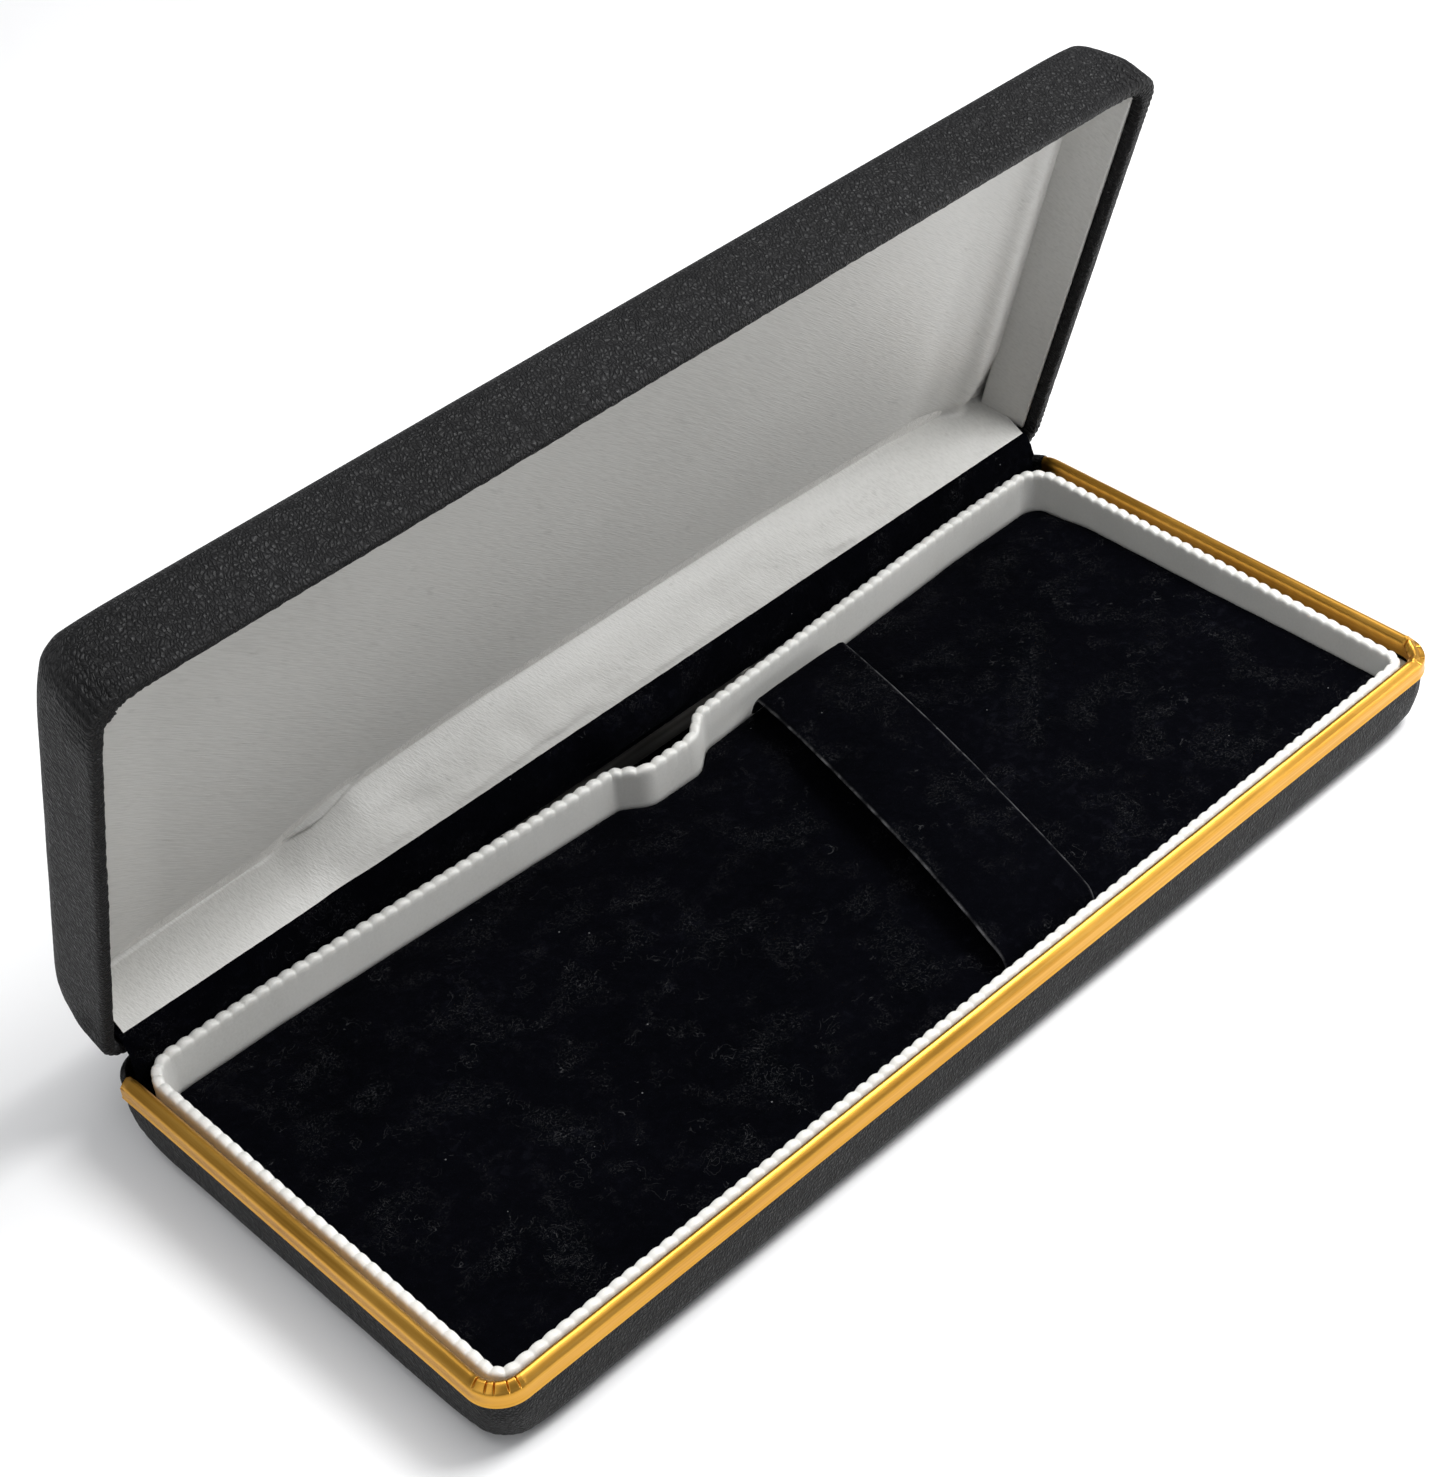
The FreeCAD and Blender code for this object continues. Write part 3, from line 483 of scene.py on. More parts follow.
def satin_material():
    """Warm grey-white satin: fine weave lines on the bias, a soft sheen, and a few small slubs."""
    n = Nodes("lining_satin")
    local = n.mapped(rotation=(-math.degrees(OPEN_ANGLE), 0, 0))
    bias = n.mapped(rotation=(0, 0, 42), source=local)
    weft = n.noise(3900, detail=1.0, source=n.mapped(scale=(0.09, 1.0, 0.3), source=bias))
    rib = n.noise(6600, detail=1.0, source=n.mapped(scale=(0.05, 1.0, 0.3), source=bias))
    warp = n.noise(5400, detail=1.0, source=n.mapped(scale=(1.0, 0.10, 0.3), source=bias))
    slub = n.noise(700, detail=2.0, source=n.mapped(scale=(0.30, 1.0, 1.0), source=bias))
    broad = n.noise(26, detail=2.0)
    tone = n.math("ADD", n.span(broad, 0.3, 0.7, 0.38, 0.62), n.span(weft, 0.3, 0.7, -0.12, 0.12))
    tone = n.math("ADD", tone, n.span(rib, 0.3, 0.7, -0.10, 0.10))
    tone = n.math("ADD", tone, n.span(slub, 0.66, 0.80, 0.0, -0.35))
    colour = n.ramp(tone, [
        (0.0, (0.42, 0.415, 0.395)),
        (0.5, (0.54, 0.535, 0.51)),
        (1.0, (0.61, 0.605, 0.58)),
    ])
    rough = n.span(weft, 0.3, 0.7, 0.38, 0.48)
    height = n.math("ADD", n.math("MULTIPLY", weft, 0.9), n.math("MULTIPLY", warp, 0.15))
    height = n.math("ADD", height, n.math("MULTIPLY", rib, 0.8))
    normal = n.bump(height, 0.000045, 1.0)
    n.set(Sheen_Weight=0.10, Sheen_Roughness=0.4, Specular_IOR_Level=0.7)
    return n.finish(colour, rough, normal)


def steel_material():
    """Plain drawn steel with fine lengthwise lines."""
    n = Nodes("spring_steel")
    streak = n.noise(1200, detail=3.0, source=n.mapped(scale=(0.03, 1.0, 1.0)))
    colour = n.ramp(streak, [(0.3, (0.42, 0.41, 0.39)), (0.7, (0.62, 0.61, 0.59))])
    rough = n.span(streak, 0.3, 0.7, 0.28, 0.46)
    n.set(Metallic=1.0)
    return n.finish(colour, rough, n.bump(streak, 0.00002, 0.5))


def board_material(name, low, high):
    """Matt board or moulding with a fibrous mottle."""
    n = Nodes(name)
    fibre = n.noise(900, detail=4.0, roughness=0.7)
    colour = n.ramp(fibre, [(0.3, low), (0.7, high)])
    return n.finish(colour, n.span(fibre, 0.3, 0.7, 0.7, 0.9), n.bump(fibre, 0.00005, 0.6))


def wadding_material():
    """Soft white wadding."""
    n = Nodes("wadding")
    fibre = n.noise(700, detail=5.0, roughness=0.8, distortion=1.0)
    colour = n.ramp(fibre, [(0.3, (0.62, 0.61, 0.58)), (0.7, (0.78, 0.77, 0.74))])
    n.set(Roughness=0.95)
    return n.finish(colour, None, n.bump(fibre, 0.0003, 0.8))


def floor_material():
    """A plain pale floor with the faintest mottle."""
    n = Nodes("pale_floor")
    mottle = n.noise(30, detail=2.0)
    colour = n.ramp(mottle, [(0.3, (0.86, 0.86, 0.86)), (0.7, (0.88, 0.88, 0.88))])
    n.set(Roughness=0.9, Specular_IOR_Level=0.1)
    return n.finish(colour)


LEATHER = leather_material()
GOLD = gold_material()
COLLAR = collar_material()
VELVET = velvet_material("black_velvet", painted_edge_sheen=False)
STRAP_VELVET = velvet_material("strap_velvet", painted_edge_sheen=True)
SATIN = satin_material()
STEEL = steel_material()
CARD = board_material("grey_board", (0.36, 0.31, 0.24), (0.52, 0.46, 0.37))
WADDING = wadding_material()

CAD_FINISHES = {
    "wall_card": CARD,
    "pad_card": CARD,
    "lid_card": CARD,
    "lid_wadding": WADDING,
    "base_hinge_leaf": STEEL,
    "base_leaf_rivets": STEEL,
    "lid_hinge_leaf": STEEL,
    "lid_leaf_rivets": STEEL,
    "hinge_pin": STEEL,
    "snap_spring": STEEL,
}


def paint(piece, material):
    """Give a piece its one material."""
    piece.data.materials.clear()
    piece.data.materials.append(material)
    return piece


# Base ------------------------

def skin_displacement(points, amount):
    """A little unevenness over a wrapped skin, as fabric over board has."""
    return amount * wobble_at(points, 0.09, 3.0) + amount * 0.35 * wobble_at(points, 1.3, 5.0)


def move_along(points, outward, distance):
    """Move swept points in or out of their path, leaving heights alone."""
    points[:, :, :2] += outward[:, None, :] * distance[:, :, None]


def corner_gap(points, left, right, front, back):
    """How far each plan point is from the nearest sharp corner of a rectangle."""
    x = np.minimum(np.abs(points[..., 0] - left), np.abs(points[..., 0] - right))
    y = np.minimum(np.abs(points[..., 1] - front), np.abs(points[..., 1] - back))
    return np.hypot(x, y)


def close_with_rings(points, faces, ring, unevenness, rings=14):
    """Close a flat ring with smaller and smaller rings round a line along its middle."""
    edge = np.array([points[i] for i in ring])
    low, high = edge.min(0), edge.max(0)
    middle = (low + high) / 2
    reach = (high[0] - low[0] - (high[1] - low[1])) / 2
    core = np.tile(middle, (len(edge), 1))
    core[:, 0] = np.clip(edge[:, 0], middle[0] - reach, middle[0] + reach)
    count = len(ring)
    previous = list(ring)
    last_share = 0.985
    for share in np.linspace(0, last_share, rings)[1:]:
        inner = edge + (core - edge) * share
        strength = unevenness * min(1.0, share * 4) if share < last_share else 0.0
        inner[:, 2] += strength * np.abs(wobble_at(inner, 0.06, 6.0))
        following = list(range(len(points), len(points) + count))
        points.extend(inner.tolist())
        for k in range(count):
            m = (k + 1) % count
            faces.append((previous[k], following[k], following[m], previous[m]))
        previous = following
    faces.append(tuple(reversed(previous)))


def gathers(path, gap, pitch, reach):
    """Small pleats where a skin is gathered round a corner: a wave that fades away from it."""
    wave = np.sin(2 * math.pi * path[2] / pitch + 2.5 * wobble(path[2], 5, 0.22))
    return wave * (1 - smoothstep(gap, reach * 0.45, reach))


def build_base_skin():
    """The leatherette on the base: a rounded lower edge and walls that run up under the gold channel."""
    front, back = WRAP_LOW[1], WRAP_HIGH[1]
    half = WRAP_HIGH[0]
    path = rounded_rectangle(-half, half, front, back, CORNER - 0.3, 0.5, 0.25)
    radius = 3.8
    outline = [(0.6, 10.2), (0.6, 11.02), (0.5, 11.08), (0.3, 11.08), (0.08, 10.98), (0.0, 10.7)]
    outline += [(0.0, z) for z in np.linspace(10.2, radius, 14)]
    outline += arc_points((radius, radius), radius, 187, 270, 12)
    outline += [(4.2, 0.0)]
    profile = np.array(outline)
    stations = len(path[0])
    insets, heights = at_stations(profile, stations)
    at_back = path[0][:, 1] > RIM_HIGH[1] + 0.1
    along_hinge = at_back & (np.abs(path[0][:, 0]) < HINGE_HALF)
    lift = np.where(along_hinge, 11.55, np.where(at_back, 11.85, 11.08)) - 11.08
    heights += lift[:, None] * smoothstep(heights, 9.0, 10.9)
    gap = corner_gap(path[0], -half, half, front, back)
    soft = (1.3 * np.exp(-((gap / 5.5) ** 2)))[:, None] * (1 - smoothstep(heights, 1.0, 7.0))
    insets += soft * (1 - insets / (CORNER - 0.45))
    points = sweep_points(path, insets, heights)
    wall = smoothstep(heights, 0.0, 2.5) * (1 - smoothstep(heights, 8.8, 9.4))
    move_along(points, path[1], (skin_displacement(points, 0.09) - 0.03) * wall)
    pleat = gathers(path, gap, 1.5, 9.0)
    move_along(points, path[1], 0.05 * pleat[:, None] * wall * (1 - smoothstep(heights, 2.0, 7.5)))
    columns = points.shape[1]
    flat = points.reshape(-1, 3).tolist()
    faces = flipped(grid_faces(stations, columns, close_rows=True))
    close_with_rings(flat, faces, [i * columns + columns - 1 for i in range(stations)], 0.0)
    piece = make_mesh("base_skin", flat, faces, "base")
    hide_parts("base_wrap", "base_shell")
    return paint(piece, LEATHER)


def snips(share, cuts, jitter):
    """For stations round a corner: the gap to the nearest snip, how far along its tab, and which tab."""
    edges = np.linspace(0.10, 0.90, cuts) + jitter
    nearest = np.min(np.abs(share[:, None] - edges[None, :]), axis=1)
    tab = np.searchsorted(edges, share)
    start = np.concatenate([[0.0], edges])[tab]
    end = np.concatenate([edges, [1.0]])[tab]
    along = (share - start) / np.maximum(end - start, 1e-6)
    return nearest, along, tab


def build_gold_channel():
    """The gold channel: a short outer face, a domed top and an inner flange, with crimped corners."""
    half = RIM_HIGH[0]
    front, back = RIM_LOW[1], RIM_HIGH[1]
    top = RIM_HIGH[2]
    foot = RIM_LOW[2]
    ridge = top - 1.1
    corners = [(-half, back, 0), (-half, front, CORNER), (half, front, CORNER), (half, back, 0)]
    path = rounded_path(corners, 0.5, 0.04, closed=False)
    width = 2.05
    outline = [(-0.07, foot), (-0.03, foot + 0.16), (0.03, foot + 0.30), (0.03, foot + 0.9)]
    outline += [(0.02, ridge - 0.30), (0.05, ridge - 0.04), (0.13, ridge + 0.16), (0.28, ridge + 0.36)]
    outline += [(0.50, ridge + 0.58)]
    outline += [(0.80, ridge + 0.82), (1.05, top - 0.10), (1.25, top - 0.01), (1.42, top - 0.02)]
    outline += [(1.60, top - 0.12), (1.78, top - 0.30), (1.93, top - 0.52), (width, top - 0.80)]
    outline += [(width, top - 1.3), (width + 0.02, foot), (width - 0.27, foot)]
    outline += [(width - 0.27, top - 0.62), (0.3, ridge - 0.15), (0.3, foot + 0.3), (0.2, foot)]
    profile = np.array(outline)
    stations = len(path[0])
    insets, heights = at_stations(profile, stations)
    visible_top = (profile[:, 1] > ridge - 0.05) & (np.arange(len(profile)) < 17)
    across = smoothstep(profile[:, 0], 0.10, 0.5) * visible_top
    rows = (
        (1, 5, 0.10, 0.30, np.array([0.0, 0.02, -0.03, 0.01, 0.0])),
        (2, 4, 0.34, 0.50, np.array([0.02, -0.03, 0.05, -0.01])),
    )
    for corner, cuts, lift, depth, jitter in rows:
        on = path[3] == corner
        nearest, along, tab = snips(path[4][on], cuts, jitter)
        groove = np.exp(-((nearest / 0.012) ** 2)) * depth
        tilt = lift * (along - 0.4) * np.where(tab % 2 == 0, 1.0, 0.5)
        heights[on] += (tilt - groove)[:, None] * across[None, :]
        if corner == 2:
            turned = np.where(tab % 2 == 0, 1.0, -0.8)
            crush = 0.55 * np.sin(math.pi * path[4][on]) + 0.25 * (along - 0.5) * turned
            insets[on] += crush[:, None] * across[None, :] * 0.6
            heights[on] -= (0.45 * np.sin(math.pi * path[4][on]))[:, None] * across[None, :]
    end_gap = np.minimum(path[2], path[2][-1] - path[2])
    droop = np.exp(-((end_gap / 0.9) ** 2))
    heights -= droop[:, None] * 0.45 * visible_top[None, :]
    splay = np.exp(-((path[2][-1] - path[2]) / 2.2) ** 2) + 0.4 * np.exp(-((path[2] / 2.2) ** 2))
    heights -= splay[:, None] * 0.35 * (np.arange(len(profile)) < 4)[None, :]
    wave = 0.02 * wobble(path[2], 2, 0.30) + 0.010 * wobble(path[2], 4, 1.3)
    insets = insets + wave[:, None] * (profile[:, 1] > foot + 0.5)[None, :]
    heights = heights + (0.02 * wobble(path[2], 8, 0.25))[:, None] * visible_top[None, :]
    points = sweep_points(path, insets, heights)
    columns = points.shape[1]
    faces = grid_faces(stations, columns, close_columns=True)
    cap_ends(faces, stations, columns)
    piece = make_mesh("gold_channel", points.reshape(-1, 3), faces, "base")
    mark_sharp(piece, 28)
    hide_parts("rim_channel")
    return paint(piece, GOLD)


def mark_sharp(piece, degrees):
    """Keep edges steeper than this angle crisp."""
    with bpy.context.temp_override(object=piece, active_object=piece, selected_editable_objects=[piece]):
        bpy.ops.object.shade_smooth_by_angle(angle=math.radians(degrees))


def inset_corners(corners, distance):
    """The corners of a plan path moved this far in, their arcs kept about the same centres."""
    count = len(corners)
    plan = np.array([corner[:2] for corner in corners], float)
    moved = []
    for i, (_, _, radius) in enumerate(corners):
        back = plan[i] - plan[i - 1]
        ahead = plan[(i + 1) % count] - plan[i]
        back = back / np.linalg.norm(back)
        ahead = ahead / np.linalg.norm(ahead)
        inward_back = np.array([-back[1], back[0]])
        inward_ahead = np.array([-ahead[1], ahead[0]])
        middle = inward_back + inward_ahead
        shift = middle / (middle @ inward_back)
        bends_in = back[0] * ahead[1] - back[1] * ahead[0] > 0
        new_radius = max(0.6, radius - distance if bends_in else radius + distance)
        moved.append((*(plan[i] + shift * distance), new_radius))
    return moved


def collar_corners():
    """The collar's outer face in plan, bowed along the hinge and stepped round the spring."""
    half = COLLAR_HIGH[0]
    front = COLLAR_LOW[1]
    back = COLLAR_HIGH[1]
    bow = 3.0
    step = 3.1
    middle = SPRING_X
    mouth = 8.2
    nose = 4.4
    return [
        (-half, front, 3.0),
        (half, front, 3.0),
        (half, back, 5.0),
        (66.0, back - 0.1, 40.0),
        (middle + mouth, back - bow, 4.0),
        (middle + nose, back - bow - step, 3.4),
        (middle - nose, back - bow - step, 3.0),
        (middle - mouth, back - bow, 3.0),
        (-66.0, back - 0.1, 40.0),
        (-half, back, 5.0),
    ]


COLLAR_WALL = 1.5
SCALLOP_PITCH = 2.1


def collar_top(points):
    """The collar's height at plan points: it rises towards the hinge and a little towards the left."""
    share = (points[:, 1] - WRAP_LOW[1]) / (WRAP_HIGH[1] - WRAP_LOW[1])
    left = np.clip(-points[:, 0] / WRAP_HIGH[0], 0, 1)
    return 10.45 + 1.25 * share + 0.35 * left * (1 - share)


def build_collar():
    """The white collar, its top edge pressed into small scallops."""
    path = rounded_path(collar_corners(), 0.17, 0.14)
    stations = len(path[0])
    total = path[2][-1] + 0.17
    pitch = total / round(total / SCALLOP_PITCH)
    phase = path[2] / pitch + 0.12 * wobble(path[2], 6, 0.07)
    crest = np.abs(np.cos(math.pi * phase)) ** 0.8
    strength = 0.85 + 0.35 * wobble(path[2], 9, 0.11)
    crest = (crest - 0.5) * strength
    top = collar_top(path[0])
    rise = 0.46
    emboss = 0.09
    # Each point: its inset, its height from the top, and its share of the scallops' rise and emboss.
    outline = [
        (0.0, -9.5, 0.0, 0.0), (0.0, -3.0, 0.0, 0.1), (0.0, -1.2, 0.15, 0.5), (0.02, -0.45, 0.6, 1.0),
        (0.14, -0.14, 0.9, 0.7), (0.38, -0.01, 1.0, 0.2), (0.75, 0.03, 1.0, 0.0), (1.12, -0.01, 1.0, -0.2),
        (1.36, -0.14, 0.9, -0.7), (1.48, -0.45, 0.5, -0.8), (COLLAR_WALL, -1.0, 0.15, -0.3),
        (COLLAR_WALL, -1.8, 0.0, -0.05), (COLLAR_WALL, -3.4, 0.0, 0.0), (COLLAR_WALL, -6.0, 0.0, 0.0),
        (COLLAR_WALL, -9.5, 0.0, 0.0),
    ]
    profile = np.array(outline)
    insets = np.tile(profile[:, 0], (stations, 1))
    heights = top[:, None] + profile[None, :, 1]
    heights = np.maximum(heights, COLLAR_LOW[2])
    heights += crest[:, None] * rise * profile[None, :, 2]
    insets -= crest[:, None] * emboss * profile[None, :, 3]
    lean = 0.12 * wobble(path[2], 12, 0.03)
    insets += lean[:, None] * smoothstep(heights, 4, 10)
    points = sweep_points(path, insets, heights)
    columns = points.shape[1]
    faces = grid_faces(stations, columns, close_rows=True, close_columns=True)
    piece = make_mesh("scalloped_collar", points.reshape(-1, 3), faces, "base")
    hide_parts("collar_strip")
    return paint(piece, COLLAR)


def cushion_outline(clearance):
    """The tray's floor inside the collar, as its front and back edges over a range of x."""
    path = rounded_path(inset_corners(collar_corners(), COLLAR_WALL + clearance), 0.4, 0.2)
    points = path[0]
    half = points[:, 0].max()
    middle = 0.0
    front = points[points[:, 1] < middle]
    back = points[points[:, 1] >= middle]
    return half, front[np.argsort(front[:, 0])], back[np.argsort(back[:, 0])]


def build_velvet_cushion():
    """The velvet pad: a soft field that rolls down a little at the collar and dips towards the hinge."""
    half, front_edge, back_edge = cushion_outline(0.10)
    ease = np.linspace(-1, 1, 300)
    xs = np.sort(np.concatenate([
        np.sin(ease * math.pi / 2) * (half - 0.01),
        np.linspace(-7, 10, 60),
    ]))
    columns, rows = len(xs), 150
    spread = (1 - np.cos(np.linspace(0, math.pi, rows))) / 2
    spread = 0.5 * spread + 0.5 * np.linspace(0, 1, rows)
    front_of = np.interp(xs, front_edge[:, 0], front_edge[:, 1])
    back_of = np.interp(xs, back_edge[:, 0], back_edge[:, 1])
    grid = np.zeros((rows, columns, 3))
    grid[:, :, 0] = xs[None, :]
    grid[:, :, 1] = front_of[None, :] + (back_of - front_of)[None, :] * spread[:, None]
    edge_side = half - np.abs(grid[:, :, 0])
    edge_front = grid[:, :, 1] - front_of[None, :]
    edge_back = back_of[None, :] - grid[:, :, 1]
    edge = np.minimum(np.minimum(edge_side, edge_front), edge_back)
    roll = 1 - np.sqrt(np.clip(1 - (1 - np.clip(edge / 1.5, 0, 1)) ** 2, 0, 1))
    heights = PAD_HIGH[2] - 0.10 - 0.85 * roll
    heights -= 1.15 * (1 - smoothstep(edge_back, 0.0, 11.0))
    heights += 0.16 * wobble_at(grid, 0.055, 1.0) + 0.07 * wobble_at(grid, 0.35, 2.0)
    heights += 0.035 * wobble_at(grid, 1.6, 7.0)
    grid[:, :, 2] = heights
    under = grid.copy()
    under[:, :, 2] = PAD_LOW[2] + 0.02
    flat, faces = slab(grid, under, flip=True)
    piece = make_mesh("velvet_cushion", flat, faces, "base")
    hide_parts("velvet_pad", "pad_foam")
    return paint(piece, VELVET)


def build_velvet_strap():
    """The strap: a soft band with turned edges that arches over the pad and is tucked in at both ends."""
    front, back = STRAP_LOW[1], STRAP_HIGH[1]
    crown = STRAP_HIGH[2]
    skew = 0.25
    centre_y = (front + back) / 2
    centre_x = (STRAP_LOW[0] + STRAP_HIGH[0]) / 2
    stations = 160
    t = np.linspace(0, 1, stations)
    ys = front + 0.35 + (back - front - 0.7) * t
    lift = 1 - np.abs(2 * t - 1) ** 2.4
    shoulder = 9.3
    zs = shoulder + (crown - 0.35 - shoulder) * lift
    drop = np.clip(1 - np.minimum(t, 1 - t) * 26, 0, 1)
    zs -= 3.6 * drop ** 2
    half_width = 8.9 + 0.22 * wobble(ys, 3, 0.05)
    section = []
    for angle in np.linspace(0, 2 * math.pi, 72, endpoint=False):
        c, s = math.cos(angle), math.sin(angle)
        section.append((math.copysign(abs(c) ** 0.35, c), math.copysign(abs(s) ** 0.8, s)))
    section = np.array(section)
    points = np.zeros((stations, len(section), 3))
    edge_roll = 0.16 * np.exp(-(((np.abs(section[:, 0]) - 0.93) / 0.05) ** 2))
    crown_across = 0.25 * (1 - section[:, 0] ** 2)
    for i in range(stations):
        middle = centre_x + skew * (ys[i] - centre_y)
        points[i, :, 0] = middle + section[:, 0] * half_width[i]
        points[i, :, 1] = ys[i]
        points[i, :, 2] = zs[i] + section[:, 1] * 0.36 + crown_across + edge_roll * section[:, 1] - 0.25
    points[:, :, 2] += 0.12 * wobble_at(points, 0.16, 8.0) + 0.03 * wobble_at(points, 1.2, 4.0)
    faces = grid_faces(stations, len(section), close_columns=True)
    cap_ends(faces, stations, len(section))
    piece = make_mesh("velvet_band", points.reshape(-1, 3), faces, "base")
    # The "edge" attribute marks the turned edges, where the strap's material paints a pale sheen line.
    edge = piece.data.attributes.new("edge", "FLOAT", "POINT")
    side = np.abs(np.tile(section[:, 0], stations))
    edge.data.foreach_set("value", smoothstep(side, 0.955, 0.99))
    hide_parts("velvet_strap")
    return paint(piece, STRAP_VELVET)


def lid_place(across, up):
    """The y and z in the row frame of a point in the lid's frame."""
    spot = LID_FRAME @ Vector((0, across * MM, up * MM))
    return spot.y / MM, spot.z / MM


def build_hinge_strip():
    """The dark velvet strip from behind the collar up under the satin, bulging a little over the spring."""
    axis_y, axis_z = AXIS.y / MM, AXIS.z / MM
    tuck = [lid_place(3.25, -0.9), lid_place(3.1, -3.2)]
    rising = [(36.1, 9.0), (36.1, 10.4), (36.12, 11.8), (36.2, 13.2), (36.55, 14.7), (37.05, 15.9)]
    spine = np.array([*rising, *tuck])
    run = np.concatenate([[0], np.cumsum(np.linalg.norm(np.diff(spine, axis=0), axis=1))])
    rows = 54
    along = np.linspace(0, run[-1], rows)
    ys = np.interp(along, run, spine[:, 0])
    zs = np.interp(along, run, spine[:, 1])
    half = 87.0
    columns = 420
    xs = np.linspace(-half, half, columns)
    grid = np.zeros((rows, columns, 3))
    grid[:, :, 0] = xs[None, :]
    near_spring = 1 - smoothstep(np.abs(xs - SPRING_X), 5.0, 11.5)
    cover = 3.5
    reach = np.sqrt(np.clip(cover ** 2 - (zs - axis_z) ** 2, 0, None))
    over_spring = np.where(along < run[-2], np.minimum(ys, axis_y - reach), ys)
    grid[:, :, 1] = ys[:, None] + (over_spring - ys)[:, None] * near_spring[None, :]
    grid[:, :, 2] = zs[:, None]
    middle_rows = np.sin(math.pi * np.clip(along / run[-2], 0, 1))
    ends = smoothstep(np.abs(xs), 78, 84)
    grid[:, :, 1] -= 0.18 * np.abs(wobble_at(grid, 0.12, 6.0)) * middle_rows[:, None]
    crumple = wobble_at(grid, 0.55, 11.0) + 0.5 * wobble_at(grid, 1.3, 12.0)
    grid[:, :, 1] -= 0.50 * crumple * ends[None, :] * middle_rows[:, None]
    grid[:, :, 2] += 0.35 * wobble_at(grid, 0.6, 14.0) * ends[None, :] * middle_rows[:, None]
    faces = flipped(grid_faces(rows, columns))
    piece = make_mesh("velvet_hinge_strip", grid.reshape(-1, 3), faces, None)
    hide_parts("hinge_strip")
    paint(piece, VELVET)
    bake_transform(piece)
    return piece


# Lid ------------------------

LID_EDGE = 4.4
TURN_IN = 2.3


def stepped(values, pitch, seed):
    """An uneven stepped line, as the cut and gathered edge of a folded skin."""
    cell = values / pitch
    low = np.floor(cell)
    share = smoothstep(cell - low, 0.30, 0.70)
    a = np.array([noise.noise(Vector((v * 3.17, seed, 0.2))) for v in low])
    b = np.array([noise.noise(Vector(((v + 1) * 3.17, seed, 0.2))) for v in low])
    return a + (b - a) * share


def build_lid_skin():
    """The leatherette on the lid: rounded outside, rolled over the rim and gathered at its corners."""
    half = LID_HIGH[0]
    back, front = LID_LOW[1], LID_HIGH[1]
    deep = LID_LOW[2]
    path = rounded_rectangle(-half, half, back, front, CORNER, 0.25, 0.08)
    stations = len(path[0])
    outline = [(2.0, -TURN_IN), (2.0, -1.7), (2.0, -1.1), (1.93, -0.55)]
    outline += arc_points((1.35, -0.55), 0.55, 25, 90, 5)
    outline += arc_points((0.75, -0.75), 0.75, 90, 180, 9)
    outline += [(0.0, z) for z in np.linspace(-1.2, deep + LID_EDGE, 16)]
    outline += arc_points((LID_EDGE, deep + LID_EDGE), LID_EDGE, 187, 270, 13)
    outline += [(4.7, deep)]
    profile = np.array(outline)
    insets, heights = at_stations(profile, stations)
    inside = smoothstep(profile[:, 0], 0.9, 1.9) * (profile[:, 1] > -3)
    gap = corner_gap(path[0], -half, half, back, front)
    near_corner = np.exp(-((gap / 5.2) ** 2))
    at_front = smoothstep(path[0][:, 1], 20, 40)
    jag = 0.12 * stepped(path[2], 1.4, 3.0) + 0.05 * wobble(path[2], 21, 1.8)
    jag = jag + near_corner * 0.75 * stepped(path[2], 0.95, 8.0)
    insets += (jag + 1.45 * near_corner * at_front)[:, None] * inside[None, :]
    heights += (0.10 * stepped(path[2], 1.1, 5.0))[:, None] * inside[None, :]
    along_hinge = smoothstep(HINGE_HALF - np.abs(path[0][:, 0]), -0.4, 0.4) * (path[0][:, 1] < back + 1)
    low_rim = np.minimum(heights, -1.35)
    heights += (low_rim - heights) * along_hinge[:, None]
    thin = np.minimum(insets, 0.62)
    insets += (thin - insets) * (along_hinge[:, None] * (profile[:, 1] > deep + LID_EDGE)[None, :])
    soft = (1.7 * np.exp(-((gap / 6.0) ** 2)))[:, None] * (1 - smoothstep(heights, deep + 1.5, deep + 8.5))
    insets += soft * (1 - insets / (CORNER - 0.25))
    points = sweep_points(path, insets, heights)
    wall = smoothstep(heights, deep, deep + 3)
    move_along(points, path[1], (skin_displacement(points, 0.10) - 0.05) * wall)
    pleat = gathers(path, gap, 1.15, 13.0)
    on_wall = smoothstep(heights, -9.5, -2.0) * (1 - smoothstep(heights, -0.6, -0.1))
    move_along(points, path[1], 0.085 * pleat[:, None] * on_wall)
    points[:, :, 2] += 0.06 * pleat[:, None] * smoothstep(heights, -1.4, -0.3)
    points[:, :, 2] -= 0.05 * np.abs(wobble_at(points, 1.1, 9.0)) * smoothstep(heights, -1.5, -0.3)
    columns = points.shape[1]
    flat = points.reshape(-1, 3).tolist()
    faces = flipped(grid_faces(stations, columns, close_rows=True))
    close_with_rings(flat, faces, [i * columns + columns - 1 for i in range(stations)], 0.12)
    piece = make_mesh("lid_skin", flat, faces, "lid", LID_FRAME)
    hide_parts("lid_wrap", "lid_shell")
    return paint(piece, LEATHER)


def bump_at(values, centre, width):
    """A smooth hump of height 1."""
    return np.exp(-(((np.asarray(values) - centre) / width) ** 2))


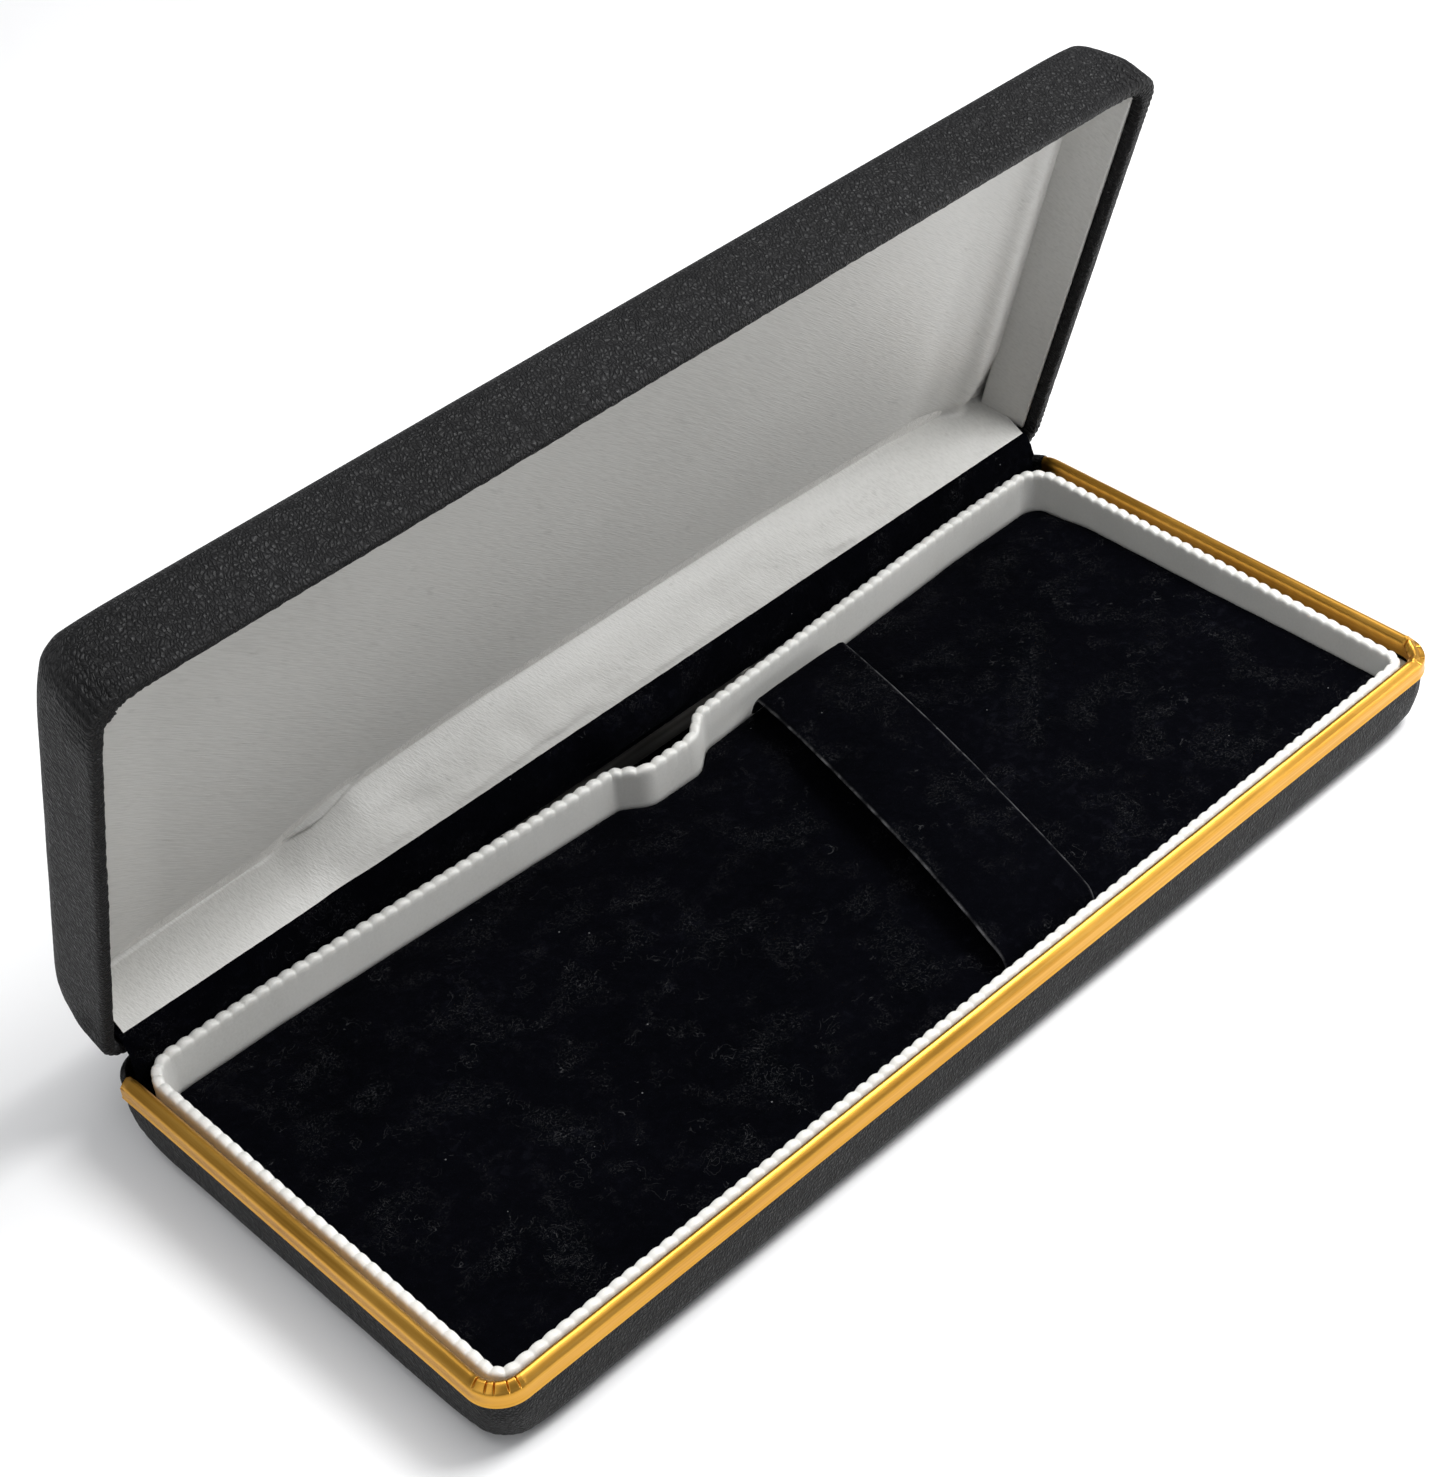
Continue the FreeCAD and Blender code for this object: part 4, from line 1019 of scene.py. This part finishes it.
def build_lining_field():
    """The satin field: one cloth over the wadding, turned down along the hinge in a soft rolled cove."""
    half = 86.3
    front = 74.2
    floor = PANEL_HIGH[2] - 0.15
    us = np.linspace(-half, half, 520)
    along = [-half, -66, -55, -50, -43, -20, 12, 36, 62, 76, half]
    depths = [4.7, 4.9, 5.2, 6.9, 8.9, 10.4, 10.0, 9.7, 8.2, 6.2, 4.7]
    meet = np.interp(us, along, depths)
    kernel = np.hanning(15) / np.hanning(15).sum()
    meet = np.convolve(np.pad(meet, 7, mode="edge"), kernel, mode="valid")
    rows_band, rows_panel, rows_front = 44, 150, 14
    rise = 1.35 * bump_at(us, 79.4, 3.0) - 0.40 * bump_at(us, 69, 4.5) - 0.15 * smoothstep(us, 82, 84)
    rise = rise + 1.0 * smoothstep(-us, 74, half)
    grid = np.zeros((rows_band + rows_panel + rows_front, len(us), 3))
    grid[:, :, 0] = us[None, :]
    rim_v = 3.62 + 0.10 * wobble(us, 4, 0.12)
    rim_z = -0.80 - 0.06 * np.abs(wobble(us, 14, 0.6))
    t = np.linspace(0, 1, rows_band)[:, None]
    straight_v = rim_v + (meet - rim_v) * t
    straight_z = rim_z + (floor + rise - rim_z) * t
    depth_share = np.clip((meet - 4.7) / 5.0, 0, 1)
    swell = (0.28 + 0.55 * depth_share) * np.sin(math.pi * t) ** 0.9
    slope = np.hypot(meet - rim_v, floor - rim_z)
    grid[:rows_band, :, 1] = straight_v + swell * (-(floor - rim_z) / slope)
    grid[:rows_band, :, 2] = straight_z + swell * ((meet - rim_v) / slope)
    t = np.linspace(0, 1, rows_panel + 1)[1:, None] ** 1.15
    vs = meet + (front - 1.3 - meet) * t
    grid[rows_band : rows_band + rows_panel, :, 1] = vs
    crown = 1.15 * smoothstep(vs - meet, 0.0, 14.0) - 0.8 * bump_at(vs - meet, 0.9, 1.5)
    crown = crown + 0.30 * (1 - (us[None, :] / half) ** 2) * smoothstep(vs - meet, 4, 26)
    crown = crown * (1 - smoothstep(vs, front - 10, front - 1.3))
    grid[rows_band : rows_band + rows_panel, :, 2] = floor + rise[None, :] + crown
    t = np.linspace(0, 1, rows_front + 1)[1:, None]
    rim_end = -2.25
    grid[rows_band + rows_panel :, :, 1] = front - 1.3 + 1.3 * np.sqrt(np.clip(1 - (1 - t) ** 2, 0, 1))
    grid[rows_band + rows_panel :, :, 2] = floor + rise + (rim_end - floor - rise) * t ** 1.4
    u, v = grid[:, :, 0], grid[:, :, 1]
    line = np.interp(u, [-60, -55, -50, -45, -40, -34], [5.2, 5.6, 7.2, 8.8, 9.8, 10.3])
    fold = bump_at(v, line + 0.5, 0.6) * bump_at(u, -47.5, 6.0)
    fold = fold - 0.60 * bump_at(v, line + 2.2, 1.1) * bump_at(u, -48.0, 6.0)
    grid[:, :, 2] += 1.6 * fold
    band = np.clip(1 - (v - 3.6) / 7.5, 0, 1) * smoothstep(v, 3.8, 5.0)
    drawn = grid * np.array([0.42, 1.0, 1.0])
    grid[:, :, 2] += 0.75 * band * (wobble_at(drawn, 0.16, 5.0) + 0.35 * wobble_at(drawn, 0.42, 6.0))
    dents = ((-50.5, 5.4, 0.60), (-35.0, 6.2, 0.65), (-16.5, 7.0, 0.60), (21.0, 6.6, 0.35))
    for centre_u, centre_v, depth in dents:
        grid[:, :, 2] -= depth * bump_at(u, centre_u, 3.6) * bump_at(v, centre_v, 1.5)
    wide = wobble_at(grid * np.array([1.0, 0.7, 1.0]), 0.028, 4.0)
    inner = smoothstep(v, 9, 18) * (1 - smoothstep(v, front - 12, front - 3))
    grid[:, :, 2] += 0.35 * wide * inner * (1 - smoothstep(np.abs(u), 72, 84))
    faces = flipped(grid_faces(*grid.shape[:2]))
    piece = make_mesh("satin_field", grid.reshape(-1, 3), faces, "lid", LID_FRAME)
    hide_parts("satin_panel", "satin_rear_wall", "satin_front_wall")
    return paint(piece, SATIN)


def build_lining_side(side, sign):
    """A satin end wall: a thin padded card that leans out towards the rim."""
    rear, front = 3.3, 73.6
    rows, columns = 22, 150
    vs = np.linspace(rear, front, columns)
    t = np.linspace(0, 1, rows)
    low_z, high_z = -8.75, -1.85
    high_u = 87.32
    low_u = 84.6 - 2.0 * (vs - rear) / (front - rear)
    lean = low_u[None, :] + (high_u - low_u)[None, :] * t[:, None]
    grid = np.zeros((rows, columns, 3))
    grid[:, :, 0] = lean
    grid[:, :, 1] = vs[None, :]
    grid[:, :, 2] = (low_z + (high_z - low_z) * t)[:, None]
    along = np.sin(math.pi * np.linspace(0, 1, columns)) ** 0.4
    puff = 0.32 * np.sin(math.pi * t)[:, None] * along[None, :]
    puff = puff + 0.16 * wobble_at(grid, 0.10, 3.0 + sign) + 0.05 * wobble_at(grid, 0.5, 5.0)
    grid[:, :, 0] -= puff * np.sin(math.pi * np.clip(t, 0.02, 0.98))[:, None] ** 0.5
    back = grid.copy()
    back[:, :, 0] = lean + 0.45
    grid[:, :, 0] *= sign
    back[:, :, 0] *= sign
    flat, faces = slab(grid, back, flip=sign < 0)
    piece = make_mesh(f"satin_{side}_end", flat, faces, "lid", LID_FRAME)
    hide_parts(f"satin_{side}_wall")
    return paint(piece, SATIN)


for node, material in CAD_FINISHES.items():
    paint(frame["nodes"][node], material)

build_base_skin()
build_gold_channel()
build_collar()
build_velvet_cushion()
build_velvet_strap()
build_hinge_strip()
build_lid_skin()
build_lining_field()
build_lining_side("left", -1)
build_lining_side("right", 1)


# Stage ------------------------

def build_floor():
    """A wide pale floor just under the base."""
    reach, height = 3000, -0.02
    points = [(x * reach, y * reach, height) for x, y in ((-1, -1), (1, -1), (1, 1), (-1, 1))]
    piece = make_mesh("floor", points, [(0, 1, 2, 3)], None, smooth=False)
    piece.data.materials.append(floor_material())


def add_area_light(name, place, target, size, power):
    """A soft rectangular light that faces a point."""
    data = bpy.data.lights.new(name, "AREA")
    data.shape = "RECTANGLE"
    data.size, data.size_y = size
    data.energy = power
    light = bpy.data.objects.new(name, data)
    light.location = place
    light.visible_camera = False
    light.rotation_euler = (Vector(target) - Vector(place)).to_track_quat("-Z", "Y").to_euler()
    bpy.context.scene.collection.objects.link(light)
    return light


def build_lights():
    """A wide light overhead, a small one high at the right, a low one at the front right and a left fill.

    A pale surround adds the rest.
    """
    add_area_light("overhead", (0.0, 0.10, 1.30), (0, 0, 0.02), (1.3, 1.0), 9)
    add_area_light("near_right", (0.23, -0.13, 0.43), (0.03, 0.01, 0.03), (0.24, 0.24), 2.8)
    add_area_light("right_low", (0.74, -0.50, 0.16), (0, 0, 0.04), (0.55, 0.28), 2.0)
    add_area_light("left_fill", (-1.10, -0.15, 0.75), (0, 0, 0.03), (0.9, 0.9), 3.0)
    world = bpy.data.worlds.new("pale_surround")
    world.use_nodes = True
    surround = world.node_tree.nodes["Background"].inputs
    surround["Color"].default_value = (0.93, 0.95, 1.0, 1)
    surround["Strength"].default_value = 0.24
    bpy.context.scene.world = world


def build_camera():
    """The view from the front left, well above the rim, fitted to the box's own straight edges."""
    data = bpy.data.cameras.new("camera")
    data.sensor_width = 36
    data.lens = 72.57
    data.clip_start = 0.01
    data.clip_end = 20
    camera = bpy.data.objects.new("camera", data)
    camera.location = (-0.19977, -0.21789, 0.28986)
    camera.rotation_euler = Euler([math.radians(a) for a in (48.875, 4.021, -44.070)])
    bpy.context.scene.collection.objects.link(camera)
    bpy.context.scene.camera = camera


build_floor()
build_lights()
build_camera()
bpy.context.scene.view_settings.view_transform = "Standard"

bpy.context.view_layer.update()
